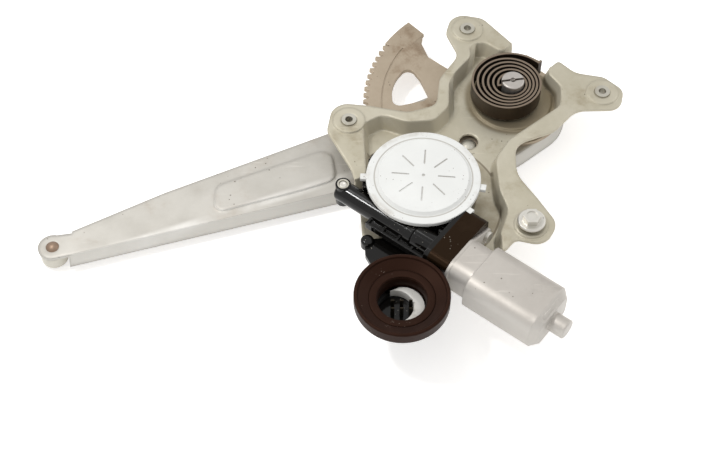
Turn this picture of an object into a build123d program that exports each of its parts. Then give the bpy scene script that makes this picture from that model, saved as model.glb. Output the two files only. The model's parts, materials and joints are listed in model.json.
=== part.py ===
"""Single-arm window regulator of a car door, with its motor.

A stamped plate carries an electric gear motor on its door side. The motor's pinion turns a toothed
sector behind the plate; the sector is riveted to the lift arm, and both turn on one pivot shaft. A
clock spring in the plate's dish helps the arm up. A roller on the arm's tip runs in the channel
that carries the glass.

Frame: +Z points from the plate to the door panel it is bolted to. The origin is the centre of the
left fixing ear (ear A), on the ears' top faces. Millimetres.
"""

import os
from math import asin, atan2, cos, degrees, radians, sin, sqrt

from build123d import *

# ---------------------------------------------------------------------------------------------
# Driving dimensions
# ---------------------------------------------------------------------------------------------

# plate: one sheet, dished so that its floor lies behind the ears
SHEET = 1.6
EAR_PAD_RISE = 1.0  # the ears' pads stand this far over the rim
DISH_DEPTH = 11.4  # rim top to floor top
DISH_TAPER = 16.0  # lean of the dish wall, degrees
EAR_A = (0.0, 0.0)
EAR_B = (81.0, 80.5)
EAR_C = (168.5, 24.0)
EAR_D = (114.0, -83.5)
EAR_PAD_RADIUS = 10.6
EAR_HOLE_RADIUS = 5.0
PIVOT = (108.8, 28.5)
SPRING_PAD_RADIUS = 27.5
SPRING_PAD_RISE = 0.8

# gears
MODULE = 1.8  # sector and output pinion
PINION_TEETH = 10
SECTOR_TEETH_FULL = 109  # teeth a whole wheel of the sector's size would have
SECTOR_TEETH = 31
SECTOR_FIRST_TOOTH = 149.3  # degrees round the pivot
PRESSURE_ANGLE = 20.0
BACKLASH = 0.32  # taken off each tooth's thickness, on both gears
PINION_BEARING = 234.7  # direction from the pivot to the pinion, degrees
SECTOR_THICKNESS = 3.0
SECTOR_GAP = 2.4  # floor underside to sector

# lift arm
ARM_SHEET = 2.0
ARM_SKIRT = 8.0  # how far its edges are turned down
ARM_SKIRT_TAPER = 24.0
ARM_RISE = 1.0  # height of the stiffening panel
PANEL_TAPER = 20.0
ARM_TIP = (-187.6, -87.7)
TIP_RADIUS = 9.2
ROLLER_RADIUS = 8.6
ROLLER_WIDTH = 10.0
STUD_RADIUS = 3.0

# pivot and clock spring
SHAFT_RADIUS = 8.0
POST_RADIUS = 7.6
POST_TOP = 7.0
STRIP_THICKNESS = 1.4
STRIP_WIDTH = 12.4
SPRING_TURNS = 5
SPRING_WIDE_PITCH = 3.5
SPRING_TIGHT_PITCH = 2.3
SPRING_WIDE_SIDE = 150.0  # direction in which the turns lie furthest apart, degrees

# gear motor
WORM_MODULE = 0.8
WHEEL_TEETH = 70
WORM_PITCH_RADIUS = 4.2
WORM_HEIGHT = 4.0  # height of the armature's axis
MOTOR_DIRECTION = -37.5  # from the worm towards the motor, degrees
WHEEL_WIDTH = 9.0
DRUM_RADIUS = 34.4
COVER_RADIUS = 36.0
COVER_SHEET = 1.5
COVER_TOP = 16.0
SKIRT = 3.4  # height of the lid's rim
COVER_PLATEAU_RADIUS = 30.0
COVER_PLATEAU_RISE = 2.0
CREASES = 8  # pressed into the lid like a star
CREASE_BEARING = -5.0
CREASE_LENGTH = 11.0
CREASE_WIDTH = 0.9
CREASE_DEPTH = 0.35
CREASE_REACH = 14.5  # from the lid's middle to a crease's middle
COVER_TABS = (-42.0, -11.0, 178.0)
COVER_TAB = 4.4
COVER_TAB_REACH = 3.6  # past the lid's rim
COVER_TAB_HEIGHT = 2.4
PINION_SHAFT_RADIUS = 6.0
TUBE_RADIUS = 6.9
YOKE_RADIUS = 19.5
YOKE_THICKNESS = 28.0
YOKE_WALL = 1.8
YOKE_BEVEL = 4.5  # round the closed end
ARMATURE_SHAFT_RADIUS = 3.0

# connector
CONNECTOR_CENTRE = (32.3, -145.0)
CONNECTOR_RADIUS = 17.0
CONNECTOR_WALL = 1.8
SEAL_RADIUS = 29.0
SEAL_TOP = 15.0

# rivets between sector and arm
RIVET_RADIUS = 3.0
RIVET_HEAD_RADIUS = 5.2
RIVET_HEAD = 1.4
RIVET_REACH = 47.5
RIVET_BEARINGS = (231.0, 190.0)
HUB_RIVET_REACH = 27.0
HUB_RIVET_BEARINGS = (60.0, 300.0)
OUTER_RIVET_REACH = 89.5
OUTER_RIVET_BEARINGS = (194.0, 212.0)
SIGHT_HOLE_RADIUS = 6.2

# spring tab
TAB_REACH = 28.1
TAB_BEARING = 58.1
TAB_WIDTH = 10.0
TAB_HEIGHT = 15.0

# gear box screws, countersunk into the floor's underside
SCREW_CIRCLE = 26.0
SCREW_RADIUS = 2.5
SCREW_HEAD_RADIUS = 4.3
SCREW_LENGTH = 9.0
PILOT_RADIUS = 13.0  # the gear box's spigot in the plate

# fasteners: M6 into the plate
THREAD_RADIUS = 3.0
THREAD_CORE_RADIUS = 2.5

RUNNING_FIT = 0.05
GAP = 0.4  # between parts that move past each other

# ---------------------------------------------------------------------------------------------
# Levels and places that follow from them
# ---------------------------------------------------------------------------------------------

RIM_TOP = -EAR_PAD_RISE
FLOOR_TOP = RIM_TOP - DISH_DEPTH
FLOOR_BOTTOM = FLOOR_TOP - SHEET
SECTOR_TOP = FLOOR_BOTTOM - SECTOR_GAP
SECTOR_BOTTOM = SECTOR_TOP - SECTOR_THICKNESS
ARM_TOP = SECTOR_BOTTOM
ARM_BOTTOM = ARM_TOP - ARM_SHEET

CENTRE_DISTANCE = MODULE * (SECTOR_TEETH_FULL + PINION_TEETH) / 2


def polar(radius, angle, centre=(0.0, 0.0)):
    """The point at a radius and an angle in degrees round a centre."""
    return (centre[0] + radius * cos(radians(angle)), centre[1] + radius * sin(radians(angle)))


PINION = polar(CENTRE_DISTANCE, PINION_BEARING, PIVOT)
EARS = [EAR_A, EAR_B, EAR_C, EAR_D]
BUSHING_RADIUS = SHAFT_RADIUS + 2.0

# the gear box's screws come up through the floor, round the pinion
MOTOR_SCREWS = [polar(SCREW_CIRCLE, angle, PINION) for angle in (80, 200, 320)]

RIVETS = [polar(RIVET_REACH, angle, PIVOT) for angle in RIVET_BEARINGS]
RIVETS += [polar(HUB_RIVET_REACH, angle, PIVOT) for angle in HUB_RIVET_BEARINGS]
RIVETS += [polar(OUTER_RIVET_REACH, angle, PIVOT) for angle in OUTER_RIVET_BEARINGS]

# one rivet between sector and arm shows through the sight hole in the floor
SIGHT_HOLE = polar(RIVET_REACH, RIVET_BEARINGS[0], PIVOT)

# the tab stands across the floor's edge, where the outermost turn of the spring ends
TAB_PLANE = Plane(
    origin=(*polar(TAB_REACH, TAB_BEARING, PIVOT), FLOOR_BOTTOM),
    x_dir=(cos(radians(TAB_BEARING - 90)), sin(radians(TAB_BEARING - 90)), 0),
    z_dir=(0, 0, 1),
)


def rounded_outline(corners):
    """A closed outline through corners (x, y, radius), each rounded to its own radius."""
    points = [(x, y) for x, y, _ in corners]
    FilletPolyline(*points, radius=[r for _, _, r in corners], close=True)


def save(part, name):
    part.label = name
    export_step(part, f"parts/{name}.step")


os.makedirs("parts", exist_ok=True)

# ---------------------------------------------------------------------------------------------
# Base plate
# ---------------------------------------------------------------------------------------------

# the sheet's outline, ears included, from ear A clockwise round the top
PLATE_OUTLINE = [
    (-14.5, -8.5, 8.5),
    (-10.5, 15.5, 11.5),
    (13.0, 12.8, 9.0),
    (39.0, 7.2, 14.0),
    (58.0, 13.5, 8.0),
    (60.5, 36.0, 12.0),
    (74.0, 57.0, 11.0),
    (66.0, 77.0, 9.0),
    (71.0, 95.5, 11.0),
    (92.0, 91.0, 11.0),
    (112.0, 66.5, 2.5),
    (108.8, 62.5, 2.0),
    (135.3, 46.0, 2.0),
    (141.5, 52.0, 2.5),
    (152.0, 41.3, 14.0),
    (171.0, 37.5, 9.0),
    (183.0, 26.0, 8.5),
    (179.5, 9.6, 10.0),
    (150.0, 9.0, 14.0),
    (134.0, -9.0, 18.0),
    (108.0, -19.5, 12.0),
    (107.5, -44.0, 24.0),
    (119.5, -63.0, 30.0),
    (131.0, -83.0, 11.0),
    (122.0, -99.0, 11.0),
    (104.0, -94.5, 5.0),
    (97.0, -103.0, 4.0),
    (56.0, -99.0, 12.0),
    (9.0, -88.0, 8.0),
    (7.0, -60.0, 30.0),
    (1.5, -40.0, 30.0),
]

# the dish's mouth; it runs out over the sheet's edge at the notch and along the lower edge
DISH_OUTLINE = [
    (9.0, -2.0, 7.0),
    (22.0, 5.6, 9.0),
    (38.0, -0.6, 14.0),
    (56.0, 1.0, 8.0),
    (66.0, 13.0, 12.0),
    (67.0, 37.0, 16.0),
    (82.5, 57.0, 8.0),
    (81.5, 68.5, 5.0),
    (93.0, 69.0, 6.0),
    (104.0, 60.5, 4.0),
    (116.0, 73.0, 1.0),
    (137.5, 56.0, 1.0),
    (134.0, 41.0, 5.0),
    (141.5, 30.0, 7.0),
    (140.5, 13.5, 9.0),
    (105.0, -15.0, 14.0),
    (95.0, -31.0, 16.0),
    (96.0, -56.0, 24.0),
    (101.0, -72.0, 12.0),
    (95.0, -89.0, 6.0),
    (96.0, -112.0, 1.0),
    (-12.0, -104.0, 1.0),
    (-12.0, -56.0, 1.0),
    (11.5, -45.0, 6.0),
]

with BuildPart() as base_plate:
    with BuildSketch(Plane.XY.offset(RIM_TOP)):
        with BuildLine():
            rounded_outline(DISH_OUTLINE)
        make_face()
        offset(amount=SHEET, kind=Kind.ARC)
    extrude(amount=-(DISH_DEPTH + SHEET), taper=DISH_TAPER)
    with BuildSketch(Plane.XY.offset(FLOOR_BOTTOM)):
        with BuildLine():
            rounded_outline(PLATE_OUTLINE)
        make_face()
    extrude(amount=RIM_TOP - FLOOR_BOTTOM, mode=Mode.INTERSECT)
    with BuildSketch(Plane.XY.offset(RIM_TOP - SHEET)):
        with BuildLine():
            rounded_outline(PLATE_OUTLINE)
        make_face()
    extrude(amount=SHEET)
    with BuildSketch(Plane.XY.offset(RIM_TOP)):
        with BuildLine():
            rounded_outline(DISH_OUTLINE)
        make_face()
    extrude(amount=-DISH_DEPTH, taper=DISH_TAPER, mode=Mode.SUBTRACT)

    # raised pads that touch the door panel, with the weld nuts' holes
    with BuildSketch(Plane.XY.offset(-SHEET)):
        with Locations(*EARS):
            Circle(EAR_PAD_RADIUS)
    extrude(amount=SHEET)
    with BuildSketch(Plane.XY.offset(RIM_TOP - SHEET)):
        with Locations(*EARS):
            Circle(EAR_PAD_RADIUS - SHEET)
    extrude(amount=EAR_PAD_RISE, mode=Mode.SUBTRACT)
    with BuildSketch(Plane.XY):
        with Locations(*EARS):
            Circle(EAR_HOLE_RADIUS)
    extrude(amount=-2 * SHEET, mode=Mode.SUBTRACT)

    # the floor's raised round pad under the clock spring
    with BuildSketch(Plane.XY.offset(FLOOR_TOP)):
        with Locations(PIVOT):
            Circle(SPRING_PAD_RADIUS)
    extrude(amount=SPRING_PAD_RISE)
    with BuildSketch(Plane.XY.offset(FLOOR_BOTTOM)):
        with Locations(PIVOT):
            Circle(SPRING_PAD_RADIUS - SHEET)
    extrude(amount=SPRING_PAD_RISE, mode=Mode.SUBTRACT)
    with BuildSketch(Plane.XY.offset(FLOOR_TOP + SPRING_PAD_RISE)):
        with Locations(PIVOT):
            Circle(BUSHING_RADIUS)
        with Locations(PINION):
            Circle(PILOT_RADIUS)
        with Locations(*MOTOR_SCREWS):
            Circle(SCREW_RADIUS + 0.4)
        with Locations(SIGHT_HOLE):
            Circle(SIGHT_HOLE_RADIUS)
    extrude(amount=-2 * SHEET - SPRING_PAD_RISE, mode=Mode.SUBTRACT)
    with BuildSketch(Plane.XY.offset(FLOOR_BOTTOM)):
        with Locations(*MOTOR_SCREWS):
            Circle(SCREW_HEAD_RADIUS + 0.2)
    extrude(amount=SHEET, taper=45, mode=Mode.SUBTRACT)

    # the tab that holds the spring's outer end
    with BuildSketch(TAB_PLANE):
        Rectangle(TAB_WIDTH, SHEET)
    extrude(amount=TAB_HEIGHT)
    with BuildSketch(TAB_PLANE.offset(TAB_HEIGHT - 0.45 * STRIP_WIDTH)):
        with Locations((0.5 * TAB_WIDTH, 0)):
            Rectangle(TAB_WIDTH, 2 * SHEET)
    extrude(amount=0.3 * STRIP_WIDTH, mode=Mode.SUBTRACT)

save(base_plate.part, "base_plate")

# ---------------------------------------------------------------------------------------------
# Fixing hardware on the ears
# ---------------------------------------------------------------------------------------------

NUT_COLLAR_RISE = 0.8
NUT_FLANGE_RADIUS = 8.0
NUT_FLANGE = 1.4
NUT_HEX = 5.5  # half its width across flats
NUT_HEIGHT = 4.5
NUT_TOP = -SHEET
NUT_BOTTOM = NUT_TOP - NUT_FLANGE - NUT_HEIGHT


def weld_nut(thread_radius):
    """A flanged weld nut whose collar pilots in the ear's hole and shows above it."""
    with BuildPart() as nut:
        with BuildSketch(Plane.XY.offset(NUT_TOP)):
            Circle(NUT_FLANGE_RADIUS)
        extrude(amount=-NUT_FLANGE)
        with BuildSketch(Plane.XY.offset(NUT_TOP - NUT_FLANGE)):
            RegularPolygon(NUT_HEX, 6, major_radius=False)
        extrude(amount=-NUT_HEIGHT)
        with BuildSketch(Plane.XY.offset(NUT_TOP)):
            Circle(EAR_HOLE_RADIUS - RUNNING_FIT)
        extrude(amount=SHEET + NUT_COLLAR_RISE)
        with BuildSketch(Plane.XY.offset(NUT_COLLAR_RISE)):
            Circle(thread_radius)
        extrude(amount=NUT_BOTTOM - NUT_COLLAR_RISE, mode=Mode.SUBTRACT)
    return nut.part


with BuildPart() as weld_nuts:
    with Locations(*[(x, y, 0) for x, y in (EAR_A, EAR_B, EAR_C)]):
        add(weld_nut(THREAD_CORE_RADIUS))
    with Locations((*EAR_D, 0)):
        add(weld_nut(THREAD_RADIUS + RUNNING_FIT))

save(weld_nuts.part, "weld_nuts")

# the bolt that hangs the regulator in the door panel's keyhole stands off its ear
BOLT_STAND = 3.0
BOLT_FLANGE_RADIUS = 8.8
BOLT_FLANGE = 1.6
BOLT_HEX = 5.0
BOLT_HEAD = 6.0
BOLT_LENGTH = 16.0

with BuildPart() as hanging_bolt:
    with BuildSketch(Plane.XY.offset(BOLT_STAND)):
        with Locations(EAR_D):
            Circle(BOLT_FLANGE_RADIUS)
    extrude(amount=BOLT_FLANGE)
    chamfer(hanging_bolt.edges().group_by(Axis.Z)[-1], length=0.45 * BOLT_FLANGE)
    with BuildSketch(Plane.XY.offset(BOLT_STAND + BOLT_FLANGE)):
        with Locations(EAR_D):
            RegularPolygon(BOLT_HEX, 6, major_radius=False)
    extrude(amount=BOLT_HEAD - BOLT_FLANGE)
    with BuildSketch(Plane.XY.offset(BOLT_STAND + BOLT_HEAD)):
        with Locations(EAR_D):
            Circle(0.7 * BOLT_HEX)
    extrude(amount=-0.8, mode=Mode.SUBTRACT)
    with BuildSketch(Plane.XY.offset(BOLT_STAND)):
        with Locations(EAR_D):
            Circle(THREAD_RADIUS)
    extrude(amount=-BOLT_LENGTH)
    chamfer(hanging_bolt.edges().group_by(Axis.Z)[0], length=0.8)

save(hanging_bolt.part, "hanging_bolt")

# ---------------------------------------------------------------------------------------------
# Pivot: bushing in the floor, shaft with the slotted post, thrust washer, retaining ring
# ---------------------------------------------------------------------------------------------

PAD_TOP = FLOOR_TOP + SPRING_PAD_RISE
PAD_BOTTOM = FLOOR_BOTTOM + SPRING_PAD_RISE
BUSHING_FLANGE = 0.9
BUSHING_BOTTOM = PAD_BOTTOM - BUSHING_FLANGE
WASHER_TOP = BUSHING_BOTTOM - 0.3
RING_HEIGHT = 1.0
RING_BOTTOM = PAD_TOP + 0.6
SPRING_BOTTOM = RING_BOTTOM + RING_HEIGHT + 0.6
SHAFT_HEAD = 2.4
SHAFT_HEAD_RADIUS = 12.0
SLOT_WIDTH = STRIP_THICKNESS + 0.3
SLOT_BEARING = 8.0  # direction of the slot across the post, degrees

with BuildPart() as pivot_bushing:
    with BuildSketch(Plane.XY.offset(BUSHING_BOTTOM)):
        with Locations(PIVOT):
            Circle(BUSHING_RADIUS + 3.0)
    extrude(amount=BUSHING_FLANGE)
    with BuildSketch(Plane.XY.offset(PAD_BOTTOM)):
        with Locations(PIVOT):
            Circle(BUSHING_RADIUS - 0.01)
    extrude(amount=SHEET + 0.3)
    with BuildSketch(Plane.XY.offset(BUSHING_BOTTOM)):
        with Locations(PIVOT):
            Circle(SHAFT_RADIUS + RUNNING_FIT)
    extrude(amount=BUSHING_FLANGE + SHEET + 1, mode=Mode.SUBTRACT)

save(pivot_bushing.part, "pivot_bushing")

with BuildPart() as thrust_washer:
    with BuildSketch(Plane.XY.offset(SECTOR_TOP)):
        with Locations(PIVOT):
            Circle(SHAFT_RADIUS + 5.0)
            Circle(SHAFT_RADIUS + RUNNING_FIT, mode=Mode.SUBTRACT)
    extrude(amount=WASHER_TOP - SECTOR_TOP)

save(thrust_washer.part, "thrust_washer")

with BuildPart() as pivot_shaft:
    with BuildSketch(Plane.XY.offset(ARM_BOTTOM - SHAFT_HEAD)):
        with Locations(PIVOT):
            Circle(SHAFT_HEAD_RADIUS)
    extrude(amount=SHAFT_HEAD)
    chamfer(pivot_shaft.edges().group_by(Axis.Z)[0], length=1.0)
    with BuildSketch(Plane.XY.offset(ARM_BOTTOM)):
        with Locations(PIVOT):
            Circle(SHAFT_RADIUS)
    extrude(amount=SPRING_BOTTOM - ARM_BOTTOM)
    with BuildSketch(Plane.XY.offset(SPRING_BOTTOM)):
        with Locations(PIVOT):
            Circle(POST_RADIUS)
    extrude(amount=POST_TOP - SPRING_BOTTOM)
    fillet(pivot_shaft.edges().group_by(Axis.Z)[-1], radius=1.0)
    with BuildSketch(Plane.XY.offset(POST_TOP)):
        with Locations(Location((*PIVOT, 0), (0, 0, SLOT_BEARING))):
            Rectangle(4 * POST_RADIUS, SLOT_WIDTH)
    extrude(amount=-(POST_TOP - SPRING_BOTTOM), mode=Mode.SUBTRACT)
    with BuildSketch(Plane.XY.offset(POST_TOP)):
        with Locations(PIVOT):
            Circle(2.2 * SLOT_WIDTH / 2)
    extrude(amount=-SLOT_WIDTH, mode=Mode.SUBTRACT)
    with BuildSketch(Plane.XY.offset(RING_BOTTOM)):
        with Locations(PIVOT):
            Circle(SHAFT_RADIUS + 1)
            Circle(SHAFT_RADIUS - 0.8, mode=Mode.SUBTRACT)
    extrude(amount=RING_HEIGHT, mode=Mode.SUBTRACT)

save(pivot_shaft.part, "pivot_shaft")

with BuildPart() as retaining_ring:
    with BuildSketch(Plane.XY.offset(RING_BOTTOM + 0.05)):
        with Locations(PIVOT):
            Circle(SHAFT_RADIUS + 2.0)
            Circle(SHAFT_RADIUS - 0.75, mode=Mode.SUBTRACT)
        with Locations((PIVOT[0], PIVOT[1] - SHAFT_RADIUS)):
            Rectangle(6.0, 6.0, mode=Mode.SUBTRACT)
    extrude(amount=RING_HEIGHT - 0.1)

save(retaining_ring.part, "retaining_ring")

# ---------------------------------------------------------------------------------------------
# Clock spring
# ---------------------------------------------------------------------------------------------


def spring_centreline():
    """Half-circles whose ends lie on one line through the pivot, wide-spaced on one side."""
    wide, tight = POST_RADIUS + 2.0, POST_RADIUS + 1.6
    line = []
    for _ in range(SPRING_TURNS):
        line.append((wide, -tight))
        line.append((-tight, wide + SPRING_WIDE_PITCH))
        wide += SPRING_WIDE_PITCH
        tight += SPRING_TIGHT_PITCH
    return line


HALF_TURNS = spring_centreline()
END_RADIUS = TAB_REACH - SHEET / 2 - STRIP_THICKNESS / 2 - 0.1
END_PAST_TAB = TAB_WIDTH / 2 + STRIP_THICKNESS / 2 + 1.2
END_ARC = SPRING_WIDE_SIDE - TAB_BEARING + degrees(asin(END_PAST_TAB / TAB_REACH))
END_LEG = 3.5
SLOT_ARC = 180 + SLOT_BEARING - SPRING_WIDE_SIDE


def half_circle(start, end, side, grow):
    """One half-turn's edge, grown by half the strip's thickness to one side."""
    start, end = start + grow * (1 if start > 0 else -1), end + grow * (1 if end > 0 else -1)
    middle, radius = (start + end) / 2, abs(start - end) / 2
    ThreePointArc((start, 0), (middle, side * radius), (end, 0))


with BuildPart() as clock_spring:
    spring_plane = Plane(
        origin=(*PIVOT, SPRING_BOTTOM),
        x_dir=(cos(radians(SPRING_WIDE_SIDE)), sin(radians(SPRING_WIDE_SIDE)), 0),
        z_dir=(0, 0, 1),
    )
    with BuildSketch(spring_plane):
        with BuildLine():
            for i, (start, end) in enumerate(HALF_TURNS):
                side = 1 if i % 2 else -1
                half_circle(start, end, side, STRIP_THICKNESS / 2)
                half_circle(start, end, side, -STRIP_THICKNESS / 2)
            first, last = HALF_TURNS[0][0], HALF_TURNS[-1][1]
            for x in (first, last):
                Line((x - STRIP_THICKNESS / 2, 0), (x + STRIP_THICKNESS / 2, 0))
        make_face()
        # the last turn runs on along the tab's inner face and ends in a leg round the tab's edge
        with BuildLine():
            outer = CenterArc((last - END_RADIUS, 0), END_RADIUS + STRIP_THICKNESS / 2, 0, -END_ARC)
            inner = CenterArc((last - END_RADIUS, 0), END_RADIUS - STRIP_THICKNESS / 2, 0, -END_ARC)
            Line(outer @ 0, inner @ 0)
            Line(outer @ 1, inner @ 1)
        make_face()
        with Locations(Location((last - END_RADIUS, 0), (0, 0, -END_ARC))):
            with Locations((END_RADIUS + END_LEG / 2 - STRIP_THICKNESS / 2, 0)):
                Rectangle(END_LEG, STRIP_THICKNESS)
        # the first turn starts in the post's slot
        with BuildLine():
            outer = CenterArc((0, 0), first + STRIP_THICKNESS / 2, 0, SLOT_ARC)
            inner = CenterArc((0, 0), first - STRIP_THICKNESS / 2, 0, SLOT_ARC)
            Line(outer @ 0, inner @ 0)
            Line(outer @ 1, inner @ 1)
        make_face()
        with Locations(Location((0, 0), (0, 0, SLOT_ARC))):
            with Locations(((first - POST_RADIUS + 1.5) / 2, 0)):
                Rectangle(first + POST_RADIUS - 1.5 + STRIP_THICKNESS, STRIP_THICKNESS)
    extrude(amount=STRIP_WIDTH)

save(clock_spring.part, "clock_spring")

# ---------------------------------------------------------------------------------------------
# Sector gear, lift arm and what joins them
# ---------------------------------------------------------------------------------------------

SECTOR_PITCH_RADIUS = MODULE * SECTOR_TEETH_FULL / 2
SECTOR_TIP_RADIUS = SECTOR_PITCH_RADIUS + 0.8 * MODULE
SECTOR_ROOT_RADIUS = SECTOR_PITCH_RADIUS - 1.2 * MODULE
SECTOR_STEP = 360 / SECTOR_TEETH_FULL
# turn of the pinion that puts one of its tooth spaces on the sector's nearest tooth
NEAREST_TOOTH = round((PINION_BEARING - SECTOR_FIRST_TOOTH) / SECTOR_STEP)
MESH_LAG = SECTOR_FIRST_TOOTH + NEAREST_TOOTH * SECTOR_STEP - PINION_BEARING
PINION_PHASE = (
    PINION_BEARING + 180 - MESH_LAG * SECTOR_TEETH_FULL / PINION_TEETH + 180 / PINION_TEETH
)
BAND_RADIUS = 80.5  # inner edge of the toothed band


def involute_flank(base_radius, radius):
    """Polar angle, in degrees, of an involute from its base circle out to a radius."""
    roll = sqrt(max(radius / base_radius, 1.0) ** 2 - 1)
    return degrees(roll) - degrees(atan2(roll, 1))


def tooth_outline(teeth, module, root_radius, tip_radius, centre, bearing):
    """One gear tooth with involute flanks, thinned by the backlash."""
    pitch_radius = module * teeth / 2
    base_radius = pitch_radius * cos(radians(PRESSURE_ANGLE))
    half_tooth = 90 / teeth - degrees(BACKLASH / 2 / pitch_radius)
    at_pitch = involute_flank(base_radius, pitch_radius)
    start = max(root_radius, base_radius)
    flank = []
    for i in range(4):
        radius = start + (tip_radius - start) * i / 3
        flank.append((radius, half_tooth + at_pitch - involute_flank(base_radius, radius)))
    left = [polar(r, bearing + a, centre) for r, a in flank]
    right = [polar(r, bearing - a, centre) for r, a in flank]
    foot = half_tooth + at_pitch - involute_flank(base_radius, start)
    foot_left = polar(root_radius - 0.5, bearing + foot, centre)
    foot_right = polar(root_radius - 0.5, bearing - foot, centre)
    Polyline(foot_right, *right, *reversed(left), foot_left, foot_right)


def ring_sector(inner_radius, outer_radius, start, arc, centre=PIVOT):
    """A closed part of a ring round a centre, as lines for a face."""
    outer = CenterArc(centre, outer_radius, start, arc)
    inner = CenterArc(centre, inner_radius, start, arc)
    Line(outer @ 0, inner @ 0)
    Line(outer @ 1, inner @ 1)


SECTOR_START = SECTOR_FIRST_TOOTH - 0.5 * SECTOR_STEP
SECTOR_ARC = SECTOR_TEETH * SECTOR_STEP
STOP_ARC = 15.0  # plain end of the band that carries the stop
HUB_RADIUS = 36.0
SECTOR_WINDOWS = [(154.0, 29.0, 26.5), (208.0, 28.0, 22.5)]  # bearing, arc, reach in from the band
WINDOW_CORNER = 5.0
LINE_RADIUS = 86.5
LINE_WIDTH = 0.9
LINE_DEPTH = 0.5

with BuildPart() as sector_gear:
    with BuildSketch(Plane.XY.offset(SECTOR_BOTTOM)):
        with Locations(PIVOT):
            Circle(HUB_RADIUS)
        with BuildLine():
            rounded_outline(
                [
                    (*polar(8, SECTOR_START + 150, PIVOT), 1.0),
                    (*polar(SECTOR_ROOT_RADIUS - 8, SECTOR_START - 5, PIVOT), 8.0),
                    (*polar(SECTOR_ROOT_RADIUS - 1, SECTOR_START + 10, PIVOT), 1.0),
                    (*polar(BAND_RADIUS, SECTOR_START + 25, PIVOT), 1.0),
                    (*polar(BAND_RADIUS, SECTOR_START + SECTOR_ARC - 25, PIVOT), 1.0),
                    (*polar(SECTOR_ROOT_RADIUS - 1, SECTOR_START + SECTOR_ARC - 4, PIVOT), 1.0),
                    (*polar(BAND_RADIUS - 6, SECTOR_START + SECTOR_ARC, PIVOT), 6.0),
                    (*polar(30, SECTOR_START + SECTOR_ARC + 30, PIVOT), 1.0),
                ]
            )
        make_face()
        with BuildLine():
            ring_sector(BAND_RADIUS - 6, SECTOR_ROOT_RADIUS, SECTOR_START, SECTOR_ARC)
        make_face()
        with BuildLine():
            ring_sector(SECTOR_ROOT_RADIUS - 12, SECTOR_TIP_RADIUS, SECTOR_START, -STOP_ARC)
        make_face()
        for i in range(SECTOR_TEETH):
            with BuildLine():
                tooth_outline(
                    SECTOR_TEETH_FULL,
                    MODULE,
                    SECTOR_ROOT_RADIUS,
                    SECTOR_TIP_RADIUS,
                    PIVOT,
                    SECTOR_FIRST_TOOTH + i * SECTOR_STEP,
                )
            make_face()
        # windows either side of the arm
        for start, arc, reach in SECTOR_WINDOWS:
            inner = BAND_RADIUS - reach
            with BuildLine():
                rounded_outline(
                    [
                        (*polar(BAND_RADIUS - 4.5, start, PIVOT), WINDOW_CORNER),
                        (*polar(BAND_RADIUS + 1.5, start + arc / 2, PIVOT), 30.0),
                        (*polar(BAND_RADIUS - 1.0, start + arc, PIVOT), WINDOW_CORNER),
                        (*polar(inner, start + 0.8 * arc, PIVOT), WINDOW_CORNER),
                        (*polar(inner + 10, start + 0.25 * arc, PIVOT), 8.0),
                    ]
                )
            make_face(mode=Mode.SUBTRACT)
        with Locations(PIVOT):
            Circle(SHAFT_RADIUS, mode=Mode.SUBTRACT)
        with Locations(*RIVETS):
            Circle(RIVET_RADIUS, mode=Mode.SUBTRACT)
    extrude(amount=SECTOR_THICKNESS)
    # line pressed along the band
    with BuildSketch(Plane.XY.offset(SECTOR_TOP)):
        with BuildLine():
            ring_sector(LINE_RADIUS, LINE_RADIUS + LINE_WIDTH, SECTOR_START - 2, SECTOR_ARC * 0.5)
        make_face()
    extrude(amount=-LINE_DEPTH, mode=Mode.SUBTRACT)

save(sector_gear.part, "sector_gear")

# the arm: a pressed tray with its edges turned down, open at the tip end, and a flat tongue
ARM_OUTLINE = [
    (-190.0, -83.0, 3.0),
    (-120.0, -45.5, 120.0),
    (56.0, 36.5, 20.0),
    (86.0, 66.0, 26.0),
    (134.0, 62.0, 30.0),
    (146.0, 14.0, 30.0),
    (108.0, -17.0, 26.0),
    (-8.0, -45.0, 60.0),
    (-190.0, -98.0, 3.0),
]
PANEL_OUTLINE = [
    (-87.0, -62.0, 6.0),
    (-30.0, -43.5, 30.0),
    (-8.0, -35.0, 8.0),
    (-12.0, -8.5, 8.0),
    (-87.0, -40.0, 8.0),
]
TRAY_END = ARM_TIP[0] + TIP_RADIUS + 2.0  # where the turned-down edges stop


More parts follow.
